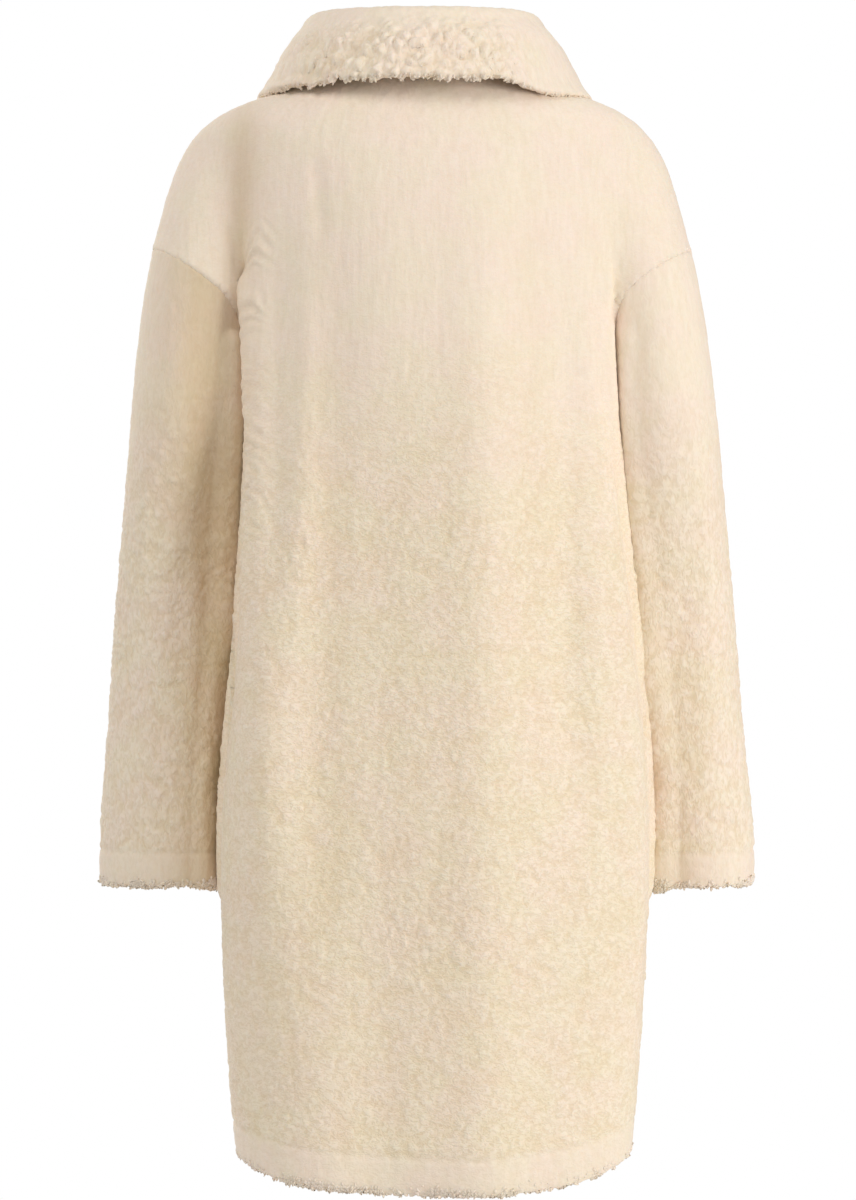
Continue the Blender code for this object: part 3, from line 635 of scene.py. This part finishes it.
def lock_mesh(name, places, normals, generator, tufts):
    """Small tapered locks that leave the pile and curl down along it, as one mesh."""
    count = len(places)
    fall = np.tile((0.0, 0.0, -1.0), (count, 1)) + tufts.stray * generator.normal(size=(count, 3))
    along = fall - (fall * normals).sum(1, keepdims=True) * normals * LOCK_PRESS
    along = unit(along + 0.0001)
    side = unit(np.cross(along, normals) + 0.0001)
    reach = tufts.length * generator.uniform(*LOCK_LENGTHS, count)[:, None]
    thick = tufts.radius * generator.uniform(*LOCK_WIDTHS, count)[:, None]
    sway = generator.normal(0, tufts.stray, count)[:, None]
    rings = []
    for share, width, _ in LOCK_RINGS:
        middle = places - LOCK_ROOT * normals + along * reach * share
        middle = middle + normals * reach * LOCK_BOW * math.sin(math.pi * (0.15 + 0.7 * share))
        middle = middle + side * reach * sway * share * share
        for corner in range(LOCK_SIDES):
            turn = 2 * math.pi * corner / LOCK_SIDES
            spoke = side * math.cos(turn) + normals * math.sin(turn)
            rings.append(middle + spoke * thick * width)
    points = np.stack(rings, axis=1)
    ring_count = len(LOCK_RINGS)
    faces = []
    for ring in range(ring_count - 1):
        for corner in range(LOCK_SIDES):
            after = (corner + 1) % LOCK_SIDES
            low = ring * LOCK_SIDES
            high = low + LOCK_SIDES
            faces.append((low + corner, high + corner, high + after, low + after))
    faces.append(tuple((ring_count - 1) * LOCK_SIDES + corner for corner in range(LOCK_SIDES)))
    one = np.array(faces)
    every = (one[None] + (np.arange(count) * ring_count * LOCK_SIDES)[:, None, None]).reshape(-1, 4)
    mesh = bpy.data.meshes.new(name)
    mesh.from_pydata(points.reshape(-1, 3), [], every)
    # Painted shade along each lock, darker at its root.
    crowns = [crown for _, _, crown in LOCK_RINGS]
    keep_values(mesh, "crown", np.tile(np.repeat(crowns, LOCK_SIDES), count))
    keep_values(mesh, "curled", np.zeros(len(mesh.vertices)))
    mesh.shade_smooth()
    return mesh


def add_locks(piece, node, weigh):
    """Sets the node's loose locks on its fleece, more of them where weigh gives more."""
    tufts = TUFTS[node]
    places, normals, generator = chosen_places(piece.data, weigh, tufts.count, tufts.seed)
    name = piece.name.replace("fleece", "locks")
    locks = bpy.data.objects.new(name, lock_mesh(name, places, normals, generator, tufts))
    bpy.context.scene.collection.objects.link(locks)
    locks.data.materials.append(piece.data.materials[0])
    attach(locks, "root")
    return locks


def near_edge(node):
    """Weighs uneven tufts along the hem or the cuff."""
    def weigh(centres, normals):
        up = centres[:, 2] - edge_levels(centres, node)
        tufts = 0.12 + eased(-0.1, 0.6, soft_noise(centres, 0.011, 9)[:, 0])
        return eased(0.010, 0.003, up) * tufts
    return weigh


def on_collar(centres, normals):
    """Weighs the lower edge of the collar's fall."""
    outside = eased(-0.3, 0.3, (centres * (1, 1, 0) * normals).sum(1) / 0.1)
    return outside * eased(-0.10, -0.50, normals[:, 2]) * eased(-0.99, -0.85, normals[:, 2])


# ---------------------------------------------------------------- buttons
def button_place(node):
    """The middle of the button's back, its radius and thickness, and the matrix that turns it out."""
    points = coordinates(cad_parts[node].data)
    centre = (points.min(0) + points.max(0)) / 2
    spread = np.linalg.eigh(np.cov((points - points.mean(0)).T))[1]
    normal = Vector(spread[:, 0])
    if normal.y > 0:
        normal.negate()
    along = (points - centre) @ np.array(normal)
    flat = points - centre - np.outer(along, np.array(normal))
    turn = normal.to_track_quat("Z", "Y").to_matrix().to_4x4()
    base = Vector(centre) + normal * float(along.min())
    return Matrix.Translation(base) @ turn, float(np.linalg.norm(flat, axis=1).max()), float(np.ptp(along))


def turned_button(build, radius, thickness):
    rings = []
    for share, height in BUTTON_PROFILE:
        rings.append([
            build.verts.new((
                radius * share * math.cos(2 * math.pi * side / BUTTON_SIDES),
                radius * share * math.sin(2 * math.pi * side / BUTTON_SIDES),
                thickness * height,
            ))
            for side in range(BUTTON_SIDES)
        ])
    for lower, upper in zip(rings, rings[1:]):
        for side in range(BUTTON_SIDES):
            after = (side + 1) % BUTTON_SIDES
            build.faces.new((lower[side], lower[after], upper[after], upper[side]))
    build.faces.new(rings[0][::-1])
    build.faces.new(rings[-1])


def hole_places():
    return [(x * HOLE_OFFSET, y * HOLE_OFFSET) for x in (-1, 1) for y in (-1, 1)]


def drilled(piece, thickness):
    """Drills the four holes through the button."""
    build = bmesh.new()
    for x, y in hole_places():
        bmesh.ops.create_cone(
            build, cap_ends=True, segments=20, radius1=HOLE_RADIUS, radius2=HOLE_RADIUS, depth=4 * thickness,
            matrix=Matrix.Translation((x, y, 0)),
        )
    mesh = bpy.data.meshes.new("drill")
    build.to_mesh(mesh)
    build.free()
    drill = bpy.data.objects.new("drill", mesh)
    bpy.context.scene.collection.objects.link(drill)
    cut = piece.modifiers.new("holes", "BOOLEAN")
    cut.operation = "DIFFERENCE"
    cut.solver = "EXACT"
    cut.object = drill
    result = bpy.data.meshes.new_from_object(piece.evaluated_get(bpy.context.evaluated_depsgraph_get()))
    piece.modifiers.clear()
    piece.data = result
    bpy.data.objects.remove(drill)
    bpy.data.meshes.remove(mesh)


def thread_mesh(name, thickness):
    """Two stitches side by side, each a bent strand from one hole to the next."""
    build = bmesh.new()
    sides = 8
    steps = 10
    turns = [2 * math.pi * side / sides for side in range(sides)]
    for x in (-HOLE_OFFSET, HOLE_OFFSET):
        for strand in (-0.5, 0.5):
            rings = []
            for step in range(steps + 1):
                share = step / steps
                y = HOLE_OFFSET * (2 * share - 1)
                z = thickness * 0.35 + thickness * 0.42 * math.sin(math.pi * share) ** 0.4
                rings.append([
                    build.verts.new((
                        x + strand * THREAD_RADIUS * THREAD_SPREAD + THREAD_RADIUS * math.cos(turn),
                        y,
                        z + THREAD_RADIUS * math.sin(turn),
                    ))
                    for turn in turns
                ])
            for low, high in zip(rings, rings[1:]):
                for side in range(sides):
                    after = (side + 1) % sides
                    build.faces.new((low[side], high[side], high[after], low[after]))
            build.faces.new(rings[0])
            build.faces.new(rings[-1][::-1])
    mesh = bpy.data.meshes.new(name)
    build.to_mesh(mesh)
    build.free()
    mesh.shade_smooth()
    return mesh


def button_piece(node):
    place, radius, thickness = button_place(node)
    build = bmesh.new()
    turned_button(build, radius, thickness)
    mesh = bpy.data.meshes.new(f"horn_{node}")
    build.to_mesh(mesh)
    build.free()
    piece = bpy.data.objects.new(f"horn_{node}", mesh)
    bpy.context.scene.collection.objects.link(piece)
    drilled(piece, thickness)
    piece.data.shade_smooth()
    piece.data.set_sharp_from_angle(angle=math.radians(40))
    piece.data.materials.append(horn_material())
    thread = bpy.data.objects.new(f"thread_{node}", thread_mesh(f"thread_{node}", thickness))
    bpy.context.scene.collection.objects.link(thread)
    thread.data.materials.append(thread_material())
    for part in (piece, thread):
        part.matrix_world = place
        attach(part, "root")
    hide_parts(node)


# ---------------------------------------------------------------- materials
def new_material(name):
    """A new material with its node tree and shader, or the finished one of that name."""
    material = bpy.data.materials.get(name)
    if material:
        return material, None, None
    material = bpy.data.materials.new(name)
    material.use_nodes = True
    tree = material.node_tree
    return material, tree, tree.nodes["Principled BSDF"]


def noise_node(tree, place, scale, detail=2.0, distortion=0.0):
    noise = tree.nodes.new("ShaderNodeTexNoise")
    noise.inputs["Scale"].default_value = scale
    noise.inputs["Detail"].default_value = detail
    noise.inputs["Distortion"].default_value = distortion
    tree.links.new(place.outputs["Object"], noise.inputs["Vector"])
    return noise


def add_bump(tree, shader, height, strength, distance):
    bump = tree.nodes.new("ShaderNodeBump")
    bump.inputs["Strength"].default_value = strength
    bump.inputs["Distance"].default_value = distance
    tree.links.new(height, bump.inputs["Height"])
    tree.links.new(bump.outputs["Normal"], shader.inputs["Normal"])


def two_colours(tree, factor, start, end, low=0.0, high=1.0):
    ramp = tree.nodes.new("ShaderNodeValToRGB")
    ramp.color_ramp.elements[0].position = low
    ramp.color_ramp.elements[0].color = (*start, 1)
    ramp.color_ramp.elements[1].position = high
    ramp.color_ramp.elements[1].color = (*end, 1)
    tree.links.new(factor, ramp.inputs["Fac"])
    return ramp


def stretched(tree, place, scale, turn=(0.0, 0.0, 0.0)):
    """The object's own coordinates, stretched or pressed along an axis."""
    mapping = tree.nodes.new("ShaderNodeMapping")
    mapping.inputs["Scale"].default_value = scale
    mapping.inputs["Rotation"].default_value = turn
    tree.links.new(place.outputs["Object"], mapping.inputs["Vector"])
    return mapping.outputs["Vector"]


def soft_steps(tree, value, low, high):
    steps = tree.nodes.new("ShaderNodeMapRange")
    steps.interpolation_type = "SMOOTHSTEP"
    steps.inputs["From Min"].default_value = low
    steps.inputs["From Max"].default_value = high
    tree.links.new(value, steps.inputs["Value"])
    return steps.outputs["Result"]


def multiplied(tree, first, second):
    product_node = tree.nodes.new("ShaderNodeMix")
    product_node.data_type = "RGBA"
    product_node.blend_type = "MULTIPLY"
    product_node.inputs["Factor"].default_value = 1.0
    tree.links.new(first, product_node.inputs["A"])
    tree.links.new(second, product_node.inputs["B"])
    return product_node.outputs["Result"]


# How the small curls lie on a piece: pressed flat on the body, drawn out and slanted on the sleeves.
CURL_LIES = {
    "body": ((1.0, 1.0, 1.6), (0.0, 0.0, 0.0)),
    "sleeve": ((1.2, 1.2, 0.62), (0.0, 0.35, 0.0)),
    "collar": ((0.8, 0.8, 0.5), (0.0, 0.0, 0.0)),
}

# Curled pile is a little yellower than brushed pile on the body and the sleeves, and not on the collar.
CURLED_TINTS = {"body": (1.0, 1.0, 1.0), "sleeve": (1.0, 1.0, 1.02), "collar": (1.0, 1.0, 1.04)}


def fleece_material(lie):
    """Cream pile with painted shade: darker and warmer at the roots, in the gaps between curls and in the
    hollows; in faint patches, curled or brushed into strands.
    """
    material, tree, shader = new_material(f"cream_pile_{lie}")
    if tree is None:
        return material
    looks = bpy.context.scene.coat_looks
    place = tree.nodes.new("ShaderNodeTexCoord")
    # Painted shade: darker and warmer low in the clumps, at the locks' roots and in the troughs of creases.
    crown = tree.nodes.new("ShaderNodeAttribute")
    crown.attribute_name = "crown"
    depth = two_colours(tree, crown.outputs["Fac"], looks.pile_shade, looks.pile_light, 0.0, 0.7)
    patches = noise_node(tree, place, 22.0, 2.0)
    tint = two_colours(tree, patches.outputs["Fac"], (1.0, 0.972, 0.955), (0.985, 0.985, 0.930), 0.38, 0.62)
    curls = noise_node(tree, place, 250.0, 1.0, 1.0)
    tree.links.new(stretched(tree, place, *CURL_LIES[lie]), curls.inputs["Vector"])
    strands = noise_node(tree, place, 260.0, 3.0)
    tree.links.new(stretched(tree, place, (1.0, 1.0, 0.16)), strands.inputs["Vector"])
    curled = tree.nodes.new("ShaderNodeAttribute")
    curled.attribute_name = "curled"
    pile = tree.nodes.new("ShaderNodeMix")
    tree.links.new(curled.outputs["Fac"], pile.inputs["Factor"])
    tree.links.new(soft_steps(tree, strands.outputs["Fac"], 0.0, 0.85), pile.inputs["A"])
    tree.links.new(soft_steps(tree, curls.outputs["Fac"], 0.34, 0.62), pile.inputs["B"])
    # Painted shade in the gaps between curls and strands.
    gaps = two_colours(tree, pile.outputs["Result"], looks.pile_gaps, (1.0, 1.0, 1.0))
    brushed = two_colours(tree, curled.outputs["Fac"], looks.pile_brushed, CURLED_TINTS[lie], 0.25, 0.9)
    # Painted shade in the hollows beside the left sleeve.
    hollow = tree.nodes.new("ShaderNodeAttribute")
    hollow.attribute_name = "hollow"
    hollow_shading = two_colours(tree, hollow.outputs["Fac"], (1.0, 1.0, 1.0), looks.pile_hollows)
    shaded_colour = multiplied(tree, depth.outputs["Color"], hollow_shading.outputs["Color"])
    tint_toned = multiplied(tree, shaded_colour, tint.outputs["Color"])
    toned = multiplied(tree, tint_toned, brushed.outputs["Color"])
    tree.links.new(multiplied(tree, toned, gaps.outputs["Color"]), shader.inputs["Base Color"])
    add_bump(tree, shader, pile.outputs["Result"], 0.34, 0.0009)
    shader.inputs["Roughness"].default_value = 0.95
    shader.inputs["Specular IOR Level"].default_value = 0.15
    shader.inputs["Sheen Weight"].default_value = 0.25
    shader.inputs["Sheen Roughness"].default_value = 0.55
    shader.inputs["Sheen Tint"].default_value = (1.0, 0.96, 0.90, 1)
    shader.inputs["Subsurface Weight"].default_value = 0.12
    shader.inputs["Subsurface Radius"].default_value = (1.0, 0.65, 0.40)
    shader.inputs["Subsurface Scale"].default_value = 0.003
    return material


def knit_material():
    """The fleece's plain knitted back: fine ribs of small loops."""
    material, tree, shader = new_material("plain_knit")
    if tree is None:
        return material
    place = tree.nodes.new("ShaderNodeTexCoord")
    ribs = tree.nodes.new("ShaderNodeTexWave")
    ribs.wave_type = "BANDS"
    ribs.bands_direction = "X"
    ribs.inputs["Scale"].default_value = 190.0
    ribs.inputs["Distortion"].default_value = 0.6
    tree.links.new(place.outputs["Object"], ribs.inputs["Vector"])
    rows = tree.nodes.new("ShaderNodeTexWave")
    rows.wave_type = "BANDS"
    rows.bands_direction = "Z"
    rows.inputs["Scale"].default_value = 240.0
    rows.inputs["Distortion"].default_value = 0.8
    tree.links.new(place.outputs["Object"], rows.inputs["Vector"])
    loops = tree.nodes.new("ShaderNodeMath")
    loops.operation = "MULTIPLY"
    tree.links.new(ribs.outputs["Fac"], loops.inputs[0])
    tree.links.new(rows.outputs["Fac"], loops.inputs[1])
    colours = two_colours(tree, loops.outputs["Value"], (0.50, 0.40, 0.29), (0.72, 0.61, 0.47))
    tree.links.new(colours.outputs["Color"], shader.inputs["Base Color"])
    add_bump(tree, shader, loops.outputs["Value"], 0.5, 0.0006)
    shader.inputs["Roughness"].default_value = 0.9
    shader.inputs["Specular IOR Level"].default_value = 0.2
    return material


def horn_material():
    """Satin horn with drawn-out darker streaks and fine turning scratches."""
    material, tree, shader = new_material("streaked_horn")
    if tree is None:
        return material
    looks = bpy.context.scene.coat_looks
    place = tree.nodes.new("ShaderNodeTexCoord")
    stretch = tree.nodes.new("ShaderNodeMapping")
    stretch.inputs["Scale"].default_value = (60.0, 60.0, 340.0)
    tree.links.new(place.outputs["Object"], stretch.inputs["Vector"])
    streaks = tree.nodes.new("ShaderNodeTexNoise")
    streaks.inputs["Scale"].default_value = 3.0
    streaks.inputs["Detail"].default_value = 5.0
    streaks.inputs["Distortion"].default_value = 1.6
    tree.links.new(stretch.outputs["Vector"], streaks.inputs["Vector"])
    colours = two_colours(tree, streaks.outputs["Fac"], looks.horn_dark, looks.horn_light, 0.35, 0.70)
    tree.links.new(colours.outputs["Color"], shader.inputs["Base Color"])
    scratches = noise_node(tree, place, 2600.0, 2.0)
    add_bump(tree, shader, scratches.outputs["Fac"], 0.15, 0.0001)
    shader.inputs["Roughness"].default_value = 0.38
    shader.inputs["Subsurface Weight"].default_value = 0.15
    shader.inputs["Subsurface Scale"].default_value = 0.002
    return material


def thread_material():
    """Twisted cream sewing thread."""
    material, tree, shader = new_material("sewing_thread")
    if tree is None:
        return material
    place = tree.nodes.new("ShaderNodeTexCoord")
    twist = tree.nodes.new("ShaderNodeTexWave")
    twist.bands_direction = "DIAGONAL"
    twist.inputs["Scale"].default_value = 900.0
    tree.links.new(place.outputs["Object"], twist.inputs["Vector"])
    colours = two_colours(tree, twist.outputs["Fac"], (0.52, 0.43, 0.32), (0.80, 0.71, 0.58))
    tree.links.new(colours.outputs["Color"], shader.inputs["Base Color"])
    add_bump(tree, shader, twist.outputs["Fac"], 0.5, 0.0002)
    shader.inputs["Roughness"].default_value = 0.7
    return material


def floor_material():
    """A pale floor that fades out before its rim."""
    material, tree, shader = new_material("studio_floor")
    if tree is None:
        return material
    place = tree.nodes.new("ShaderNodeTexCoord")
    grain = noise_node(tree, place, 2.0, 2.0)
    colours = two_colours(tree, grain.outputs["Fac"], (0.84, 0.84, 0.83), (0.88, 0.88, 0.87))
    tree.links.new(colours.outputs["Color"], shader.inputs["Base Color"])
    reach = tree.nodes.new("ShaderNodeVectorMath")
    reach.operation = "LENGTH"
    tree.links.new(place.outputs["Object"], reach.inputs[0])
    fade = tree.nodes.new("ShaderNodeMapRange")
    fade.interpolation_type = "SMOOTHSTEP"
    fade.inputs["From Min"].default_value = FLOOR_FADE
    fade.inputs["From Max"].default_value = FLOOR_RADIUS
    fade.inputs["To Min"].default_value = 1.0
    fade.inputs["To Max"].default_value = 0.0
    tree.links.new(reach.outputs["Value"], fade.inputs["Value"])
    tree.links.new(fade.outputs["Result"], shader.inputs["Alpha"])
    shader.inputs["Roughness"].default_value = 0.9
    return material


# ---------------------------------------------------------------- studio
def add_camera(scene):
    camera = bpy.data.objects.new("camera", bpy.data.cameras.new("camera"))
    scene.collection.objects.link(camera)
    camera.location = (0, CAMERA_DISTANCE, CAMERA_HEIGHT)
    camera.rotation_euler = (math.pi / 2, 0, math.pi)
    camera.data.sensor_width = SENSOR
    camera.data.lens = SENSOR * CAMERA_DISTANCE / VIEW_HEIGHT
    scene.camera = camera


def add_floor(scene):
    build = bmesh.new()
    bmesh.ops.create_circle(build, cap_ends=True, segments=96, radius=FLOOR_RADIUS)
    mesh = bpy.data.meshes.new("floor")
    build.to_mesh(mesh)
    build.free()
    floor = bpy.data.objects.new("floor", mesh)
    scene.collection.objects.link(floor)
    floor.location.z = FLOOR_HEIGHT
    mesh.materials.append(floor_material())


def add_world(scene, strength):
    """White behind the coat, and soft light on it."""
    world = bpy.data.worlds.new("studio")
    scene.world = world
    world.use_nodes = True
    tree = world.node_tree
    tree.nodes.clear()
    output = tree.nodes.new("ShaderNodeOutputWorld")
    seen = tree.nodes.new("ShaderNodeBackground")
    seen.inputs["Color"].default_value = (1, 1, 1, 1)
    lit = tree.nodes.new("ShaderNodeBackground")
    lit.inputs["Color"].default_value = (1.0, 0.98, 0.95, 1)
    lit.inputs["Strength"].default_value = strength
    path = tree.nodes.new("ShaderNodeLightPath")
    mix = tree.nodes.new("ShaderNodeMixShader")
    tree.links.new(path.outputs["Is Camera Ray"], mix.inputs["Fac"])
    tree.links.new(lit.outputs["Background"], mix.inputs[1])
    tree.links.new(seen.outputs["Background"], mix.inputs[2])
    tree.links.new(mix.outputs["Shader"], output.inputs["Surface"])


def add_lamp(scene, lamp):
    light = bpy.data.lights.new(lamp.name, "AREA")
    light.size = lamp.size
    light.energy = lamp.power
    light.color = LAMP_COLOUR
    piece = bpy.data.objects.new(lamp.name, light)
    scene.collection.objects.link(piece)
    piece.location = lamp.place
    aim = Vector((0, 0, CAMERA_HEIGHT)) - Vector(lamp.place)
    piece.rotation_euler = aim.to_track_quat("-Z", "Y").to_euler()


# ---------------------------------------------------------------- settings and operators
class CoatLooks(bpy.types.PropertyGroup):
    """Sizes and colours that a user would change."""

    body_grain: bpy.props.FloatProperty(
        name="Body grain", description="Width of the body's quads", default=0.00285, unit="LENGTH"
    )
    sleeve_grain: bpy.props.FloatProperty(
        name="Sleeve grain", description="Width of the sleeves' quads", default=0.0023, unit="LENGTH"
    )
    collar_grain: bpy.props.FloatProperty(
        name="Collar grain", description="Width of the collar's quads", default=0.0022, unit="LENGTH"
    )
    clump_size: bpy.props.FloatProperty(
        name="Clump size", description="Width of the pile's clumps", default=0.0070, unit="LENGTH"
    )
    clump_depth: bpy.props.FloatProperty(
        name="Clump depth", description="How far the clumps stand out", default=0.0011, unit="LENGTH"
    )
    collar_clump_size: bpy.props.FloatProperty(
        name="Collar clump size", description="Width of the collar's clumps", default=0.0095, unit="LENGTH"
    )
    collar_clump_depth: bpy.props.FloatProperty(
        name="Collar clump depth", description="How far the collar's clumps stand out", default=0.0034,
        unit="LENGTH",
    )
    pile_rise: bpy.props.FloatProperty(
        name="Pile rise", description="How far the pile stands over the cloth's wall", default=0.0009,
        unit="LENGTH",
    )
    ambient: bpy.props.FloatProperty(
        name="Ambient", description="Strength of the studio's even light", default=0.45, min=0, max=2
    )
    pile_light: bpy.props.FloatVectorProperty(
        name="Pile", description="Colour on the crowns of the pile", default=(0.93, 0.825, 0.705),
        subtype="COLOR", min=0, max=1,
    )
    # Painted shade deep in the pile and in the troughs of creases.
    pile_shade: bpy.props.FloatVectorProperty(
        name="Pile roots", description="Colour deep in the pile", default=(0.885, 0.76, 0.605),
        subtype="COLOR", min=0, max=1,
    )
    # Painted shade in the gaps between curls.
    pile_gaps: bpy.props.FloatVectorProperty(
        name="Pile gaps", description="How far the gaps between curls darken the colour",
        default=(0.92, 0.895, 0.845), subtype="COLOR", min=0, max=1,
    )
    pile_brushed: bpy.props.FloatVectorProperty(
        name="Brushed pile", description="How brushed pile changes the colour",
        default=(1.0, 1.0, 1.04), subtype="COLOR", min=0, max=2,
    )
    # Painted shade in the hollows beside the left sleeve.
    pile_hollows: bpy.props.FloatVectorProperty(
        name="Pile hollows", description="How far the hollow beside the left sleeve darkens the colour",
        default=(0.80, 0.745, 0.64), subtype="COLOR", min=0, max=1,
    )
    horn_light: bpy.props.FloatVectorProperty(
        name="Horn", description="Light streaks of the buttons", default=(0.62, 0.50, 0.37),
        subtype="COLOR", min=0, max=1,
    )
    horn_dark: bpy.props.FloatVectorProperty(
        name="Dark horn", description="Dark streaks of the buttons", default=(0.36, 0.25, 0.16),
        subtype="COLOR", min=0, max=1,
    )


class COAT_OT_body(bpy.types.Operator):
    """Fleece of the back and the two fronts, with locks along the hem"""

    bl_idname = "coat.body"
    bl_label = "Body"

    def execute(self, context):
        looks = context.scene.coat_looks
        for node in BODY:
            piece = fleece_piece(node, looks.body_grain, looks.clump_size, looks.clump_depth, BODY_CREASES)
            locks = add_locks(piece, node, near_edge(node))
        return {"FINISHED"}


class COAT_OT_sleeves(bpy.types.Operator):
    """Fleece of the sleeves, with locks along the cuffs"""

    bl_idname = "coat.sleeves"
    bl_label = "Sleeves"

    def execute(self, context):
        looks = context.scene.coat_looks
        for node in SLEEVES:
            grain = looks.sleeve_grain
            piece = fleece_piece(node, grain, looks.clump_size, looks.clump_depth, SLEEVE_CREASES)
            locks = add_locks(piece, node, near_edge(node))
        return {"FINISHED"}


class COAT_OT_collar(bpy.types.Operator):
    """Fleece of the collar, with locks along the edge of its fall"""

    bl_idname = "coat.collar"
    bl_label = "Collar"

    def execute(self, context):
        looks = context.scene.coat_looks
        piece = fleece_piece("collar", looks.collar_grain, looks.collar_clump_size, looks.collar_clump_depth)
        locks = add_locks(piece, "collar", on_collar)
        return {"FINISHED"}


class COAT_OT_buttons(bpy.types.Operator):
    """Turned horn buttons with their thread"""

    bl_idname = "coat.buttons"
    bl_label = "Buttons"

    def execute(self, context):
        for node in BUTTONS:
            button_piece(node)
        return {"FINISHED"}


class COAT_OT_stage(bpy.types.Operator):
    """Floor, lights and camera"""

    bl_idname = "coat.stage"
    bl_label = "Studio"

    def execute(self, context):
        scene = context.scene
        scene.view_settings.view_transform = "Standard"
        add_camera(scene)
        add_floor(scene)
        add_world(scene, scene.coat_looks.ambient)
        for lamp in LAMPS:
            add_lamp(scene, lamp)
        return {"FINISHED"}


class COAT_PT_panel(bpy.types.Panel):
    """Lists the coat's pieces and their sizes and colours"""

    bl_idname = "COAT_PT_panel"
    bl_label = "Teddy-fleece coat"
    bl_space_type = "VIEW_3D"
    bl_region_type = "UI"
    bl_category = "Coat"

    def draw(self, context):
        layout = self.layout
        for operator in OPERATORS:
            layout.operator(operator.bl_idname)
        for name in CoatLooks.__annotations__:
            layout.prop(context.scene.coat_looks, name)


OPERATORS = (COAT_OT_body, COAT_OT_sleeves, COAT_OT_collar, COAT_OT_buttons, COAT_OT_stage)
CLASSES = (CoatLooks, *OPERATORS, COAT_PT_panel)


def register():
    for kind in CLASSES:
        bpy.utils.register_class(kind)
    bpy.types.Scene.coat_looks = bpy.props.PointerProperty(type=CoatLooks)


def unregister():
    del bpy.types.Scene.coat_looks
    for kind in reversed(CLASSES):
        bpy.utils.unregister_class(kind)


def main():
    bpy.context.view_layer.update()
    register()
    bpy.ops.coat.body()
    bpy.ops.coat.sleeves()
    bpy.ops.coat.collar()
    bpy.ops.coat.buttons()
    bpy.ops.coat.stage()


if __name__ == "__main__":
    main()
